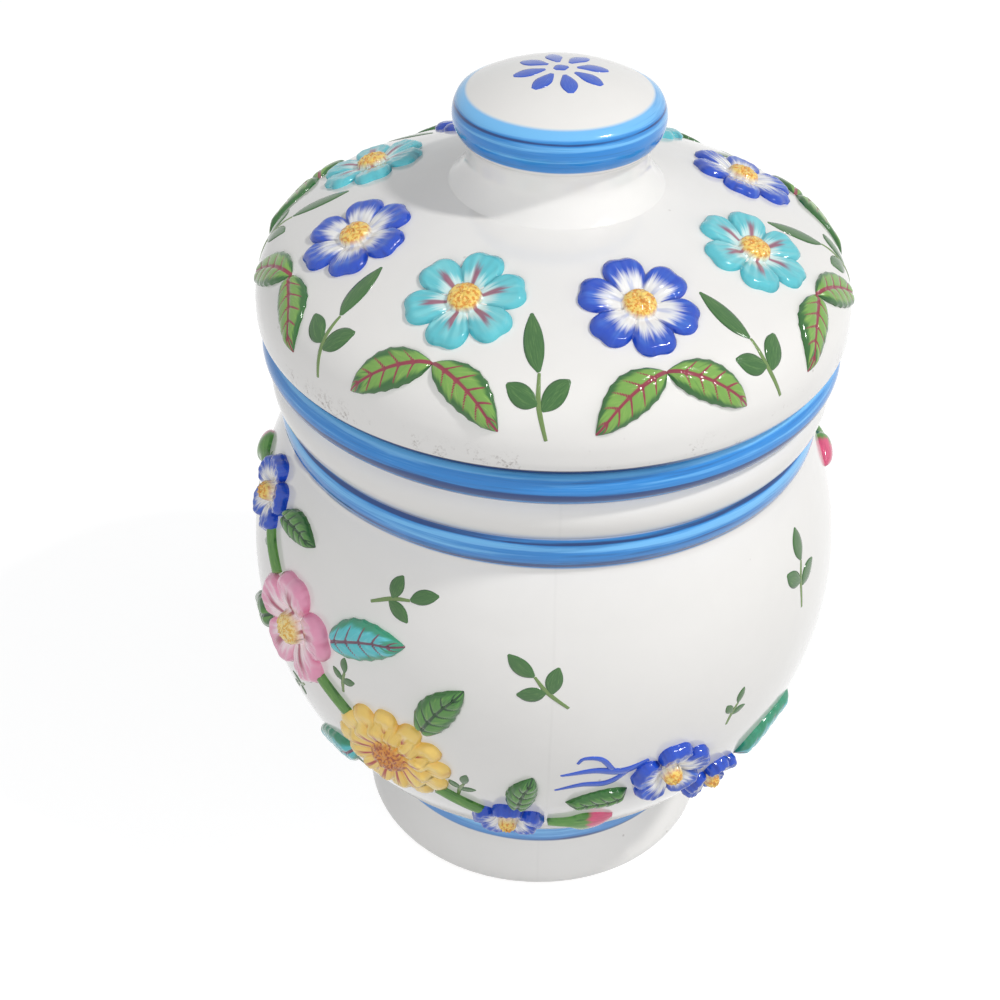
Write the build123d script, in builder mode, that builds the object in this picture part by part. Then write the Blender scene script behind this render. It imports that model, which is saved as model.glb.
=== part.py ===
from build123d import *
import os
from math import asin, atan2, cos, degrees, hypot, radians, sin, sqrt

os.makedirs("parts", exist_ok=True)

# Storage jar in glazed earthenware: a footed, round-bellied jar, a domed lid with a mushroom knob,
# and press-moulded flowers and leaves stuck on both. Millimetres, +Z up, the jar's axis is Z,
# the origin is the middle of the foot's underside and -Y is the front.

# Driving sizes of the jar
FOOT_R = 57.5
FOOT_EDGE_Z = 3.0
FOOT_NECK_R = 53.5
FOOT_NECK_Z = 16.0
WAIST_Z = 24.0
BELLY_R = 91.0
BELLY_Z = 104.0
LOWER_ARC_R = 103.3
UPPER_ARC_R = 96.0
SHOULDER_Z = 152.0
BEAD_R = 80.0
BEAD_TOP_R = 78.3
BEAD_H = 9.8
COLLAR_R = 82.2
COLLAR_TOP_R = 80.4
COLLAR_H = 13.7
RIM_R = 84.2
RIM_H = 9.5
SEAT_R = 81.0
WALL = 5.0
MOUTH_R = 76.0
MOUTH_DEPTH = 25.0
FOOT_RING_R = 47.0
FOOT_RECESS = 3.5
FOOT_GLAZE_R = 56.0

# Driving sizes of the lid
LID_R = 85.2
LID_SIDE_H = 8.8
LID_EDGE_ROUND = 6.0
LID_SHOULDER_ROUND = 20.0
DOME_ARC_R = 158.0
LID_WALL = 5.0
FLANGE_CLEARANCE = 0.9
FLANGE_THICK = 4.5
FLANGE_DEPTH = 13.0
VENT_R = 4.0

# Driving sizes of the knob, its heights measured from the top of the dome
KNOB_FLARE_R = 29.5
KNOB_STEM_R = 25.2
KNOB_STEM_H = 4.82
KNOB_NECK_H = 9.82
KNOB_R = 29.2
KNOB_WIDE_H = 16.32
KNOB_EDGE_R = 27.6
KNOB_EDGE_H = 21.82
KNOB_TOP_H = 29.42
KNOB_WALL = 4.5

# Relief of the pieces stuck on the jar and the lid
BELLY_RELIEF = 3.0
LID_RELIEF = 1.6
EYE_RELIEF = 5.0
LID_EYE_RELIEF = 3.0
PRISM = 40.0
PETAL_WAIST = 0.5
PETAL_OVERLAP = 1.0
LEAF_GAP = 0.5
LEAF_JOIN_R = 2.0
STEM_W = 4.0
STEM_GAP = 0.7
HALF_TURNS = (0, 180)

# Places of the flowers on the belly: distance round it from the middle of the front, and height
PINK_GIRTH = -82.6
PINK_Z = 108.0
DAISY_GIRTH = -44.5
DAISY_Z = 80.0
HIGH_GIRTH = -111.2
HIGH_Z = 137.0
LOW_GIRTH = -7.9
LOW_Z = 56.0
BIG_GIRTH = 42.9
BIG_Z = 78.0
SMALL_GIRTH = 65.1
SMALL_Z = 60.0

# Reach of each flower on the belly, from its middle to the petal tips, and the eyes
PINK_REACH = 18.0
DAISY_REACH = 19.0
HIGH_REACH = 12.0
LOW_REACH = 11.0
BIG_REACH = 13.0
SMALL_REACH = 10.0
PINK_EYE_R = 5.5
DAISY_EYE_R = 7.5
BLUE_EYE_R = 4.0
BLOSSOM_PETALS = 5
DAISY_PETALS = 12

# Leaves and buds on the belly
TURQUOISE_LEAF_LENGTH = 26.0
TURQUOISE_LEAF_W = 13.0
GREEN_LEAF_LENGTH = 22.0
GREEN_LEAF_W = 11.0
SMALL_LEAF_LENGTH = 18.0
SMALL_LEAF_W = 9.0
BUD_STALK = 6.7
BUD_LENGTH = 13.3
BUD_W = 10.0

# Leaves: name, flower that each grows at, direction in degrees and kind
BELLY_LEAVES = (
    ("turquoise_leaf_upper", "pink_blossom", 22, "turquoise"),
    ("green_leaf_upper", "pink_blossom", 205, "green"),
    ("turquoise_leaf_middle", "yellow_daisy", 215, "turquoise"),
    ("green_leaf_middle", "yellow_daisy", 55, "green"),
    ("green_leaf_top", "upper_blue_flower", 5, "small"),
    ("green_leaf_low", "lower_blue_flower", 75, "small"),
    ("bunch_leaf_green", "bunch_big_flower", 200, "small"),
    ("bunch_leaf_turquoise", "bunch_small_flower", 20, "turquoise"),
)
# Buds: name, flower that each grows at and direction in degrees
BELLY_BUDS = (
    ("pink_bud_top", "upper_blue_flower", 178),
    ("pink_bud_low", "lower_blue_flower", -8),
)
# Stems: name and the two flowers that each one joins
BELLY_STEMS = (
    ("stem_upper", "pink_blossom", "upper_blue_flower"),
    ("stem_middle", "pink_blossom", "yellow_daisy"),
    ("stem_lower", "yellow_daisy", "lower_blue_flower"),
)

# Ring of flowers on the lid, each with a spread pair of leaves
LID_FLOWERS = 8
LID_PETALS = 6
LID_FLOWER_R = 58.0
LID_FLOWER_REACH = 16.0
LID_EYE_R = 5.0
LID_LEAF_ANGLE = 50.0
LID_LEAF_ROOT = 5.5
LID_LEAF_LENGTH = 24.0
LID_LEAF_W = 11.0
LID_LEAF_WAYS = (-150, -30)

# Heights that follow from the stack of rings, the lid's seat and the dome
BEAD_TOP_Z = SHOULDER_Z + BEAD_H
COLLAR_TOP_Z = BEAD_TOP_Z + COLLAR_H
SEAT_Z = COLLAR_TOP_Z + RIM_H
MOUTH_LOW_Z = SEAT_Z - MOUTH_DEPTH
LID_SIDE_Z = SEAT_Z + LID_SIDE_H

# Centres worked out from the driving sizes, radius first and height second
lower_centre = (BELLY_R - LOWER_ARC_R, BELLY_Z)
upper_centre = (BELLY_R - UPPER_ARC_R, BELLY_Z)
lid_shoulder_centre = (LID_R - LID_SHOULDER_ROUND, LID_SIDE_Z)
dome_centre_z = LID_SIDE_Z - sqrt((DOME_ARC_R - LID_SHOULDER_ROUND) ** 2 - lid_shoulder_centre[0] ** 2)
dome_join_angle = asin(lid_shoulder_centre[0] / (DOME_ARC_R - LID_SHOULDER_ROUND))


def arc_radius_at(centre, arc_r, z):
    """Radius from the jar's axis of an outline arc at one height."""
    return centre[0] + sqrt(arc_r ** 2 - (z - centre[1]) ** 2)


def dome_height(arc_r, r):
    """Height of a dome arc at one radius from the axis."""
    return dome_centre_z + sqrt(arc_r ** 2 - r ** 2)


def on_lid_shoulder(round_r, angle):
    """Point of the lid's shoulder round, its angle in radians from the vertical."""
    return (lid_shoulder_centre[0] + round_r * sin(angle), LID_SIDE_Z + round_r * cos(angle))


def belly_outline(grow):
    """Belly outline from waist to shoulder, moved outward by grow."""
    low_r = LOWER_ARC_R + grow
    high_r = UPPER_ARC_R + grow
    mid_low_z = (WAIST_Z + BELLY_Z) / 2
    mid_high_z = (SHOULDER_Z + BELLY_Z) / 2
    low = (arc_radius_at(lower_centre, low_r, WAIST_Z), WAIST_Z)
    low_mid = (arc_radius_at(lower_centre, low_r, mid_low_z), mid_low_z)
    wide = (BELLY_R + grow, BELLY_Z)
    high_mid = (arc_radius_at(upper_centre, high_r, mid_high_z), mid_high_z)
    high = (arc_radius_at(upper_centre, high_r, SHOULDER_Z), SHOULDER_Z)
    return low, low_mid, wide, high_mid, high


# Heights of the knob above the table
dome_top_z = dome_height(DOME_ARC_R, 0)
knob_stem_z = dome_top_z + KNOB_STEM_H
knob_neck_z = dome_top_z + KNOB_NECK_H
knob_wide_z = dome_top_z + KNOB_WIDE_H
knob_edge_z = dome_top_z + KNOB_EDGE_H
knob_top_z = dome_top_z + KNOB_TOP_H

# Outline points that both the jar and its outer skin need
belly_low, belly_low_mid, belly_wide, belly_high_mid, belly_high = belly_outline(0)
bead_mid_z = (SHOULDER_Z + BEAD_TOP_Z) / 2
collar_mid_z = (BEAD_TOP_Z + COLLAR_TOP_Z) / 2
rim_mid_z = (COLLAR_TOP_Z + SEAT_Z) / 2
inner_low, inner_low_mid, inner_wide, inner_high_mid, inner_high = belly_outline(-WALL)
inner_floor_z = FOOT_RECESS + WALL
inner_foot_r = FOOT_NECK_R - WALL

# Jar: foot, belly, shoulder bead, collar and rim bead, with the hollow inside
with BuildPart() as jar_body:
    with BuildSketch(Plane.XZ):
        with BuildLine():
            Line((0, FOOT_RECESS), (FOOT_RING_R, FOOT_RECESS))
            Line((FOOT_RING_R, FOOT_RECESS), (FOOT_RING_R, 0))
            Line((FOOT_RING_R, 0), (FOOT_GLAZE_R, 0))
            RadiusArc((FOOT_GLAZE_R, 0), (FOOT_R, FOOT_EDGE_Z), -FOOT_EDGE_Z)
            Spline((FOOT_R, FOOT_EDGE_Z), (FOOT_NECK_R, FOOT_NECK_Z), belly_low,
                   tangents=((-0.2, 1), (0.2, 1)))
            ThreePointArc(belly_low, belly_low_mid, belly_wide)
            ThreePointArc(belly_wide, belly_high_mid, belly_high)
            ThreePointArc(belly_high, (BEAD_R, bead_mid_z), (BEAD_TOP_R, BEAD_TOP_Z))
            ThreePointArc((BEAD_TOP_R, BEAD_TOP_Z), (COLLAR_R, collar_mid_z), (COLLAR_TOP_R, COLLAR_TOP_Z))
            ThreePointArc((COLLAR_TOP_R, COLLAR_TOP_Z), (RIM_R, rim_mid_z), (SEAT_R, SEAT_Z))
            Line((SEAT_R, SEAT_Z), (MOUTH_R, SEAT_Z))
            Line((MOUTH_R, SEAT_Z), (MOUTH_R, MOUTH_LOW_Z))
            Line((MOUTH_R, MOUTH_LOW_Z), inner_high)
            ThreePointArc(inner_high, inner_high_mid, inner_wide)
            ThreePointArc(inner_wide, inner_low_mid, inner_low)
            Line(inner_low, (inner_foot_r, FOOT_NECK_Z))
            Line((inner_foot_r, FOOT_NECK_Z), (inner_foot_r, inner_floor_z))
            Line((inner_foot_r, inner_floor_z), (0, inner_floor_z))
            Line((0, inner_floor_z), (0, FOOT_RECESS))
        make_face()
    revolve(axis=Axis.Z)

jar_body.part.label = "jar_body"
export_step(jar_body.part, "parts/jar_body.step")

# Lid: domed shell with a flat edge that sits on the rim and a flange that centres it in the mouth
flange_r = MOUTH_R - FLANGE_CLEARANCE
flange_inner_r = flange_r - FLANGE_THICK
flange_low_z = SEAT_Z - FLANGE_DEPTH
ledge_z = SEAT_Z + LID_WALL
edge_z = SEAT_Z + LID_EDGE_ROUND
inner_round = LID_SHOULDER_ROUND - LID_WALL
inner_dome_r = DOME_ARC_R - LID_WALL
ledge_r = lid_shoulder_centre[0] + sqrt(inner_round ** 2 - (LID_SIDE_Z - ledge_z) ** 2)
outer_join = on_lid_shoulder(LID_SHOULDER_ROUND, dome_join_angle)
inner_join = on_lid_shoulder(inner_round, dome_join_angle)
shoulder_mid_angle = (dome_join_angle + radians(90)) / 2
with BuildPart() as lid_dome:
    with BuildSketch(Plane.XZ):
        with BuildLine():
            Line((flange_inner_r, flange_low_z), (flange_r, flange_low_z))
            Line((flange_r, flange_low_z), (flange_r, SEAT_Z))
            Line((flange_r, SEAT_Z), (LID_R - LID_EDGE_ROUND, SEAT_Z))
            RadiusArc((LID_R - LID_EDGE_ROUND, SEAT_Z), (LID_R, edge_z), -LID_EDGE_ROUND)
            Line((LID_R, edge_z), (LID_R, LID_SIDE_Z))
            ThreePointArc((LID_R, LID_SIDE_Z), on_lid_shoulder(LID_SHOULDER_ROUND, shoulder_mid_angle),
                          outer_join)
            ThreePointArc(outer_join, (KNOB_STEM_R, dome_height(DOME_ARC_R, KNOB_STEM_R)),
                          (VENT_R, dome_height(DOME_ARC_R, VENT_R)))
            Line((VENT_R, dome_height(DOME_ARC_R, VENT_R)), (VENT_R, dome_height(inner_dome_r, VENT_R)))
            ThreePointArc((VENT_R, dome_height(inner_dome_r, VENT_R)),
                          (KNOB_STEM_R, dome_height(inner_dome_r, KNOB_STEM_R)), inner_join)
            ThreePointArc(inner_join, on_lid_shoulder(inner_round, shoulder_mid_angle),
                          (ledge_r, ledge_z))
            Line((ledge_r, ledge_z), (flange_inner_r, ledge_z))
            Line((flange_inner_r, ledge_z), (flange_inner_r, flange_low_z))
        make_face()
    revolve(axis=Axis.Z)

lid_dome.part.label = "lid_dome"
export_step(lid_dome.part, "parts/lid_dome.step")

# Knob: hollow mushroom on a flared base, standing on the dome over the vent hole
flare_z = dome_height(DOME_ARC_R, KNOB_FLARE_R)
hollow_stem_r = KNOB_STEM_R - KNOB_WALL
hollow_low_z = dome_height(DOME_ARC_R, hollow_stem_r)
hollow_r = KNOB_R - KNOB_WALL
hollow_top_z = knob_top_z - KNOB_WALL
hollow_shoulder_z = knob_wide_z + (hollow_top_z - knob_wide_z) * sin(radians(45))
knob_crown = knob_top_z - knob_edge_z
knob_top_arc_r = (KNOB_EDGE_R ** 2 + knob_crown ** 2) / (2 * knob_crown)
with BuildPart() as lid_knob:
    with BuildSketch(Plane.XZ):
        with BuildLine():
            ThreePointArc((hollow_stem_r, hollow_low_z), (KNOB_STEM_R, dome_height(DOME_ARC_R, KNOB_STEM_R)),
                          (KNOB_FLARE_R, flare_z))
            Spline((KNOB_FLARE_R, flare_z), (KNOB_STEM_R, knob_stem_z), tangents=((-1, 0.35), (0, 1)))
            Line((KNOB_STEM_R, knob_stem_z), (KNOB_STEM_R, knob_neck_z))
            ThreePointArc((KNOB_STEM_R, knob_neck_z), (KNOB_R, knob_wide_z), (KNOB_EDGE_R, knob_edge_z))
            RadiusArc((KNOB_EDGE_R, knob_edge_z), (0, knob_top_z), -knob_top_arc_r)
            Line((0, knob_top_z), (0, hollow_top_z))
            ThreePointArc((0, hollow_top_z), (hollow_r * cos(radians(45)), hollow_shoulder_z),
                          (hollow_r, knob_wide_z))
            Line((hollow_r, knob_wide_z), (hollow_stem_r, knob_neck_z))
            Line((hollow_stem_r, knob_neck_z), (hollow_stem_r, hollow_low_z))
        make_face()
    revolve(axis=Axis.Z)

lid_knob.part.label = "lid_knob"
export_step(lid_knob.part, "parts/lid_knob.step")

# Skins that the stuck-on pieces are cut from: they lie on the belly and on the lid
skin_low, skin_low_mid, skin_wide, skin_high_mid, skin_high = belly_outline(BELLY_RELIEF)
with BuildPart() as belly_skin:
    with BuildSketch(Plane.XZ):
        with BuildLine():
            ThreePointArc(belly_low, belly_low_mid, belly_wide)
            ThreePointArc(belly_wide, belly_high_mid, belly_high)
            Line(belly_high, skin_high)
            ThreePointArc(skin_high, skin_high_mid, skin_wide)
            ThreePointArc(skin_wide, skin_low_mid, skin_low)
            Line(skin_low, belly_low)
        make_face()
    revolve(axis=Axis.Z)

with BuildPart() as belly_core:
    with BuildSketch(Plane.XZ):
        with BuildLine():
            ThreePointArc(belly_low, belly_low_mid, belly_wide)
            ThreePointArc(belly_wide, belly_high_mid, belly_high)
            Line(belly_high, (0, SHOULDER_Z))
            Line((0, SHOULDER_Z), (0, WAIST_Z))
            Line((0, WAIST_Z), belly_low)
        make_face()
    revolve(axis=Axis.Z)

skin_round = LID_SHOULDER_ROUND + LID_RELIEF
skin_dome_r = DOME_ARC_R + LID_RELIEF
skin_join = on_lid_shoulder(skin_round, dome_join_angle)
skin_inner_r = KNOB_FLARE_R + WALL
with BuildPart() as lid_skin:
    with BuildSketch(Plane.XZ):
        with BuildLine():
            Line((LID_R, LID_SIDE_Z), (LID_R + LID_RELIEF, LID_SIDE_Z))
            ThreePointArc((LID_R + LID_RELIEF, LID_SIDE_Z), on_lid_shoulder(skin_round, shoulder_mid_angle),
                          skin_join)
            ThreePointArc(skin_join, (LID_FLOWER_R, dome_height(skin_dome_r, LID_FLOWER_R)),
                          (skin_inner_r, dome_height(skin_dome_r, skin_inner_r)))
            Line((skin_inner_r, dome_height(skin_dome_r, skin_inner_r)),
                 (skin_inner_r, dome_height(DOME_ARC_R, skin_inner_r)))
            ThreePointArc((skin_inner_r, dome_height(DOME_ARC_R, skin_inner_r)),
                          (LID_FLOWER_R, dome_height(DOME_ARC_R, LID_FLOWER_R)), outer_join)
            ThreePointArc(outer_join, on_lid_shoulder(LID_SHOULDER_ROUND, shoulder_mid_angle),
                          (LID_R, LID_SIDE_Z))
        make_face()
    revolve(axis=Axis.Z)

with BuildPart() as lid_core:
    with BuildSketch(Plane.XZ):
        with BuildLine():
            Line((0, LID_SIDE_Z), (LID_R, LID_SIDE_Z))
            ThreePointArc((LID_R, LID_SIDE_Z), on_lid_shoulder(LID_SHOULDER_ROUND, shoulder_mid_angle),
                          outer_join)
            ThreePointArc(outer_join, (LID_FLOWER_R, dome_height(DOME_ARC_R, LID_FLOWER_R)),
                          (0, dome_height(DOME_ARC_R, 0)))
            Line((0, dome_height(DOME_ARC_R, 0)), (0, LID_SIDE_Z))
        make_face()
    revolve(axis=Axis.Z)


def belly_plane(half_turn, girth, z):
    """Plane that touches the belly: x runs round it to the right, y up it, z outward.

    The place is a half turn in degrees, then a distance round the widest girth, positive to the right.
    """
    centre, arc_r = (lower_centre, LOWER_ARC_R) if z < BELLY_Z else (upper_centre, UPPER_ARC_R)
    r = arc_radius_at(centre, arc_r, z)
    a = radians(half_turn) + girth / BELLY_R
    out_r = (r - centre[0]) / arc_r
    out_z = (z - centre[1]) / arc_r
    return Plane(origin=(r * sin(a), -r * cos(a), z), x_dir=(cos(a), sin(a), 0),
                 z_dir=(out_r * sin(a), -out_r * cos(a), out_z))


def lid_plane(turn, r):
    """Plane that touches the lid's dome at one radius, the turn in degrees from the front."""
    a = radians(turn)
    out_r = r / DOME_ARC_R
    return Plane(origin=(r * sin(a), -r * cos(a), dome_height(DOME_ARC_R, r)), x_dir=(cos(a), sin(a), 0),
                 z_dir=(out_r * sin(a), -out_r * cos(a), sqrt(1 - out_r ** 2)))


def lid_shoulder_plane(turn, angle):
    """Plane that touches the lid's shoulder round, the angle in degrees from the vertical."""
    a = radians(turn)
    tip = radians(angle)
    r, z = on_lid_shoulder(LID_SHOULDER_ROUND, tip)
    return Plane(origin=(r * sin(a), -r * cos(a), z), x_dir=(cos(a), sin(a), 0),
                 z_dir=(sin(tip) * sin(a), -sin(tip) * cos(a), cos(tip)))


def at_edge(reach, direction):
    """Point of a flower's plane just outside its petals, in a direction in degrees."""
    away = reach + LEAF_GAP
    return (away * cos(radians(direction)), away * sin(radians(direction)))


def blossom(name, plane, petals, reach, eye_r, relief, skin, core):
    """Round flower: a ring of oval petals cut from the skin, with a domed eye in the middle."""
    eye_round = (eye_r ** 2 + relief ** 2) / (2 * relief)
    petal_half_w = reach * sin(radians(180 / petals)) * (1 - PETAL_WAIST / 2) + PETAL_OVERLAP
    with BuildPart() as flower:
        with BuildSketch(plane):
            with PolarLocations(reach / 2, petals, start_angle=90):
                Ellipse(reach / 2, petal_half_w)
            Circle(reach * PETAL_WAIST)
        extrude(amount=PRISM, both=True)
        add(skin.part, mode=Mode.INTERSECT)
        with Locations(plane.offset(relief - eye_round)):
            Sphere(eye_round)
        add(core.part, mode=Mode.SUBTRACT)
    flower.part.label = name
    export_step(flower.part, f"parts/{name}.step")


def leaf(name, plane, root, directions, length, width, skin):
    """Pointed leaves that grow from one point of the plane, each in its own direction in degrees."""
    with BuildSketch() as outline:
        with BuildLine():
            ThreePointArc((0, 0), (length / 2, width / 2), (length, 0))
            ThreePointArc((length, 0), (length / 2, -width / 2), (0, 0))
        make_face()
    with BuildPart() as blade:
        with BuildSketch(plane):
            for direction in directions:
                with Locations(Location((root[0], root[1], 0), (0, 0, direction))):
                    add(outline.sketch)
            if len(directions) > 1:
                with Locations(root):
                    Circle(LEAF_JOIN_R)
        extrude(amount=PRISM, both=True)
        add(skin.part, mode=Mode.INTERSECT)
    blade.part.label = name
    export_step(blade.part, f"parts/{name}.step")


def bud(name, plane, reach, direction, skin):
    """Closed bud on a short stalk that starts at a flower's edge."""
    with BuildPart() as closed:
        with BuildSketch(plane):
            with Locations(Location((*at_edge(reach, direction), 0), (0, 0, direction))):
                with Locations((BUD_STALK / 2, 0)):
                    Rectangle(BUD_STALK, STEM_W)
                with Locations((BUD_STALK + BUD_LENGTH / 2 - PETAL_OVERLAP, 0)):
                    Ellipse(BUD_LENGTH / 2, BUD_W / 2)
        extrude(amount=PRISM, both=True)
        add(skin.part, mode=Mode.INTERSECT)
    closed.part.label = name
    export_step(closed.part, f"parts/{name}.step")


def stem(name, plane, reach, end_plane, end_reach, skin):
    """Round-ended stalk along the belly from one flower's edge to just short of the next one's."""
    end = plane.to_local_coords(end_plane.origin)
    direction = degrees(atan2(end.Y, end.X))
    length = hypot(end.X, end.Y) - reach - LEAF_GAP - end_reach - STEM_GAP
    with BuildPart() as stalk:
        with BuildSketch(plane):
            with Locations(Location((*at_edge(reach, direction), 0), (0, 0, direction))):
                with Locations((length / 2, 0)):
                    SlotOverall(length, STEM_W)
        extrude(amount=PRISM, both=True)
        add(skin.part, mode=Mode.INTERSECT)
    stalk.part.label = name
    export_step(stalk.part, f"parts/{name}.step")


# Posies on the belly: the same garland and small bunch on the front and on the back
leaf_sizes = {
    "turquoise": (TURQUOISE_LEAF_LENGTH, TURQUOISE_LEAF_W),
    "green": (GREEN_LEAF_LENGTH, GREEN_LEAF_W),
    "small": (SMALL_LEAF_LENGTH, SMALL_LEAF_W),
}
for side, half_turn in zip(("front", "back"), HALF_TURNS):
    places = {
        "pink_blossom": (belly_plane(half_turn, PINK_GIRTH, PINK_Z), PINK_REACH),
        "yellow_daisy": (belly_plane(half_turn, DAISY_GIRTH, DAISY_Z), DAISY_REACH),
        "upper_blue_flower": (belly_plane(half_turn, HIGH_GIRTH, HIGH_Z), HIGH_REACH),
        "lower_blue_flower": (belly_plane(half_turn, LOW_GIRTH, LOW_Z), LOW_REACH),
        "bunch_big_flower": (belly_plane(half_turn, BIG_GIRTH, BIG_Z), BIG_REACH),
        "bunch_small_flower": (belly_plane(half_turn, SMALL_GIRTH, SMALL_Z), SMALL_REACH),
    }
    looks = {"pink_blossom": (BLOSSOM_PETALS, PINK_EYE_R), "yellow_daisy": (DAISY_PETALS, DAISY_EYE_R)}
    for flower_name, (place, reach) in places.items():
        petals, eye_r = looks.get(flower_name, (BLOSSOM_PETALS, BLUE_EYE_R))
        blossom(f"{side}_{flower_name}", place, petals, reach, eye_r, EYE_RELIEF, belly_skin, belly_core)
    for leaf_name, flower_name, direction, kind in BELLY_LEAVES:
        place, reach = places[flower_name]
        leaf(f"{side}_{leaf_name}", place, at_edge(reach, direction), (direction,), *leaf_sizes[kind],
             belly_skin)
    for bud_name, flower_name, direction in BELLY_BUDS:
        bud(f"{side}_{bud_name}", *places[flower_name], direction, belly_skin)
    for stem_name, first_name, second_name in BELLY_STEMS:
        stem(f"{side}_{stem_name}", *places[first_name], *places[second_name], belly_skin)

# Ring of flowers on the lid, each with a spread pair of leaves
for count in range(LID_FLOWERS):
    turn = (count + 0.5) * 360 / LID_FLOWERS
    flower_place = lid_plane(turn, LID_FLOWER_R)
    leaf_place = lid_shoulder_plane(turn, LID_LEAF_ANGLE)
    blossom(f"lid_flower_{count + 1}", flower_place, LID_PETALS, LID_FLOWER_REACH, LID_EYE_R, LID_EYE_RELIEF,
            lid_skin, lid_core)
    leaf(f"lid_leaves_{count + 1}", leaf_place, (0, LID_LEAF_ROOT), LID_LEAF_WAYS, LID_LEAF_LENGTH,
         LID_LEAF_W, lid_skin)
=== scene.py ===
"""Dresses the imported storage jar: glazed shells, brushed bands, moulded flowers and painted sprigs."""

import logging
from collections.abc import Callable
from dataclasses import dataclass, field
from enum import Enum
from math import asin, atan2, cos, degrees, hypot, pi, radians, sin, sqrt

import bpy
import numpy as np
from mathutils import Matrix, Vector


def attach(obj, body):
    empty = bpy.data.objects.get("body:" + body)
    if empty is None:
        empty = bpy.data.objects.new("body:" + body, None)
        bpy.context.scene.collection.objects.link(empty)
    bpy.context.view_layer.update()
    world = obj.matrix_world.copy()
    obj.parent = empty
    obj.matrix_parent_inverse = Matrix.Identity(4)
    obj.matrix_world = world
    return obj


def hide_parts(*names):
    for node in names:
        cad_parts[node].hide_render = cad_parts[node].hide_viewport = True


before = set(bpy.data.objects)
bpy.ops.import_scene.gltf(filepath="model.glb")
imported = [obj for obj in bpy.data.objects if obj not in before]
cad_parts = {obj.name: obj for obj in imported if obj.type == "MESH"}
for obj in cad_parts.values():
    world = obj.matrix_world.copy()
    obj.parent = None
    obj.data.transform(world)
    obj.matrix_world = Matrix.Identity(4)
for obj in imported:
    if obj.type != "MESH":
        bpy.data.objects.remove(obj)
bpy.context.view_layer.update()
log = logging.getLogger("jar")

MM = 0.001
TINY = 1e-6
Array = np.ndarray
Colour = tuple[float, float, float]
Point = tuple[float, float]
Faces = list[tuple[int, ...]]


def srgb(red: int, green: int, blue: int) -> Colour:
    """Turn a colour as a painter's swatch, 0 to 255, into linear light.

    Args:
        red: red part of the swatch.
        green: green part of the swatch.
        blue: blue part of the swatch.

    Returns:
        The linear colour.
    """
    parts = []
    for value in (red, green, blue):
        share = value / 255
        parts.append(share / 12.92 if share <= 0.04045 else ((share + 0.055) / 1.055) ** 2.4)
    return (parts[0], parts[1], parts[2])


class Body(Enum):
    """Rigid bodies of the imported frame."""

    JAR = "jar"
    LID = "lid"


class Paint(Enum):
    """Ways in which a moulded or brushed piece is painted."""

    PINK = "pink"
    YELLOW = "yellow"
    BLUE = "blue"
    TURQUOISE = "turquoise"
    LEAF_GREEN = "leaf_green"
    LEAF_LID = "leaf_lid"
    LEAF_TURQUOISE = "leaf_turquoise"
    BUD = "bud"
    STEM = "stem"
    SPRIG = "sprig"
    COBALT = "cobalt"

    @property
    def slot(self) -> str:
        """Slot of the record that pieces in this paint take their finish from."""
        slots = {Paint.PINK: "pink_glaze", Paint.BUD: "pink_glaze", Paint.YELLOW: "yellow_glaze",
                 Paint.BLUE: "blue_glaze", Paint.COBALT: "blue_glaze", Paint.TURQUOISE: "turquoise_glaze",
                 Paint.LEAF_TURQUOISE: "turquoise_glaze"}
        return slots.get(self, "green_glaze")

    @property
    def moulded(self) -> bool:
        """Whether pieces in this paint are moulded and have a node, or are paint alone."""
        return self not in (Paint.SPRIG, Paint.COBALT)


# Sizes and walls


@dataclass(frozen=True)
class JarShape:
    """Sizes of the jar's turned outline, in millimetres, as the frame has them."""

    foot_r: float = 57.5
    foot_edge_z: float = 3.0
    foot_neck_r: float = 53.5
    foot_neck_z: float = 16.0
    foot_ring_r: float = 47.0
    foot_glaze_r: float = 56.0
    foot_recess: float = 3.5
    waist_z: float = 24.0
    belly_r: float = 91.0
    belly_z: float = 104.0
    lower_arc_r: float = 103.3
    upper_arc_r: float = 96.0
    shoulder_z: float = 152.0
    bead_r: float = 80.0
    bead_top_r: float = 78.3
    bead_top_z: float = 161.8
    collar_r: float = 82.2
    collar_top_r: float = 80.4
    collar_top_z: float = 175.5
    rim_r: float = 84.2
    seat_r: float = 81.0
    seat_z: float = 185.0
    wall: float = 5.0
    mouth_r: float = 76.0
    mouth_low_z: float = 160.0
    soft_edge: float = 0.6
    floor_round: float = 3.0

    def arc_at(self, z: float) -> float:
        """Radius of the belly's arc that holds at one height."""
        return self.lower_arc_r if z < self.belly_z else self.upper_arc_r

    def belly_at(self, z: float, grow: float = 0.0) -> float:
        """Radius of the belly at one height, with its wall moved outward by a distance."""
        arc_r = self.arc_at(z)
        return self.belly_r - arc_r + sqrt((arc_r + grow) ** 2 - (z - self.belly_z) ** 2)


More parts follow.
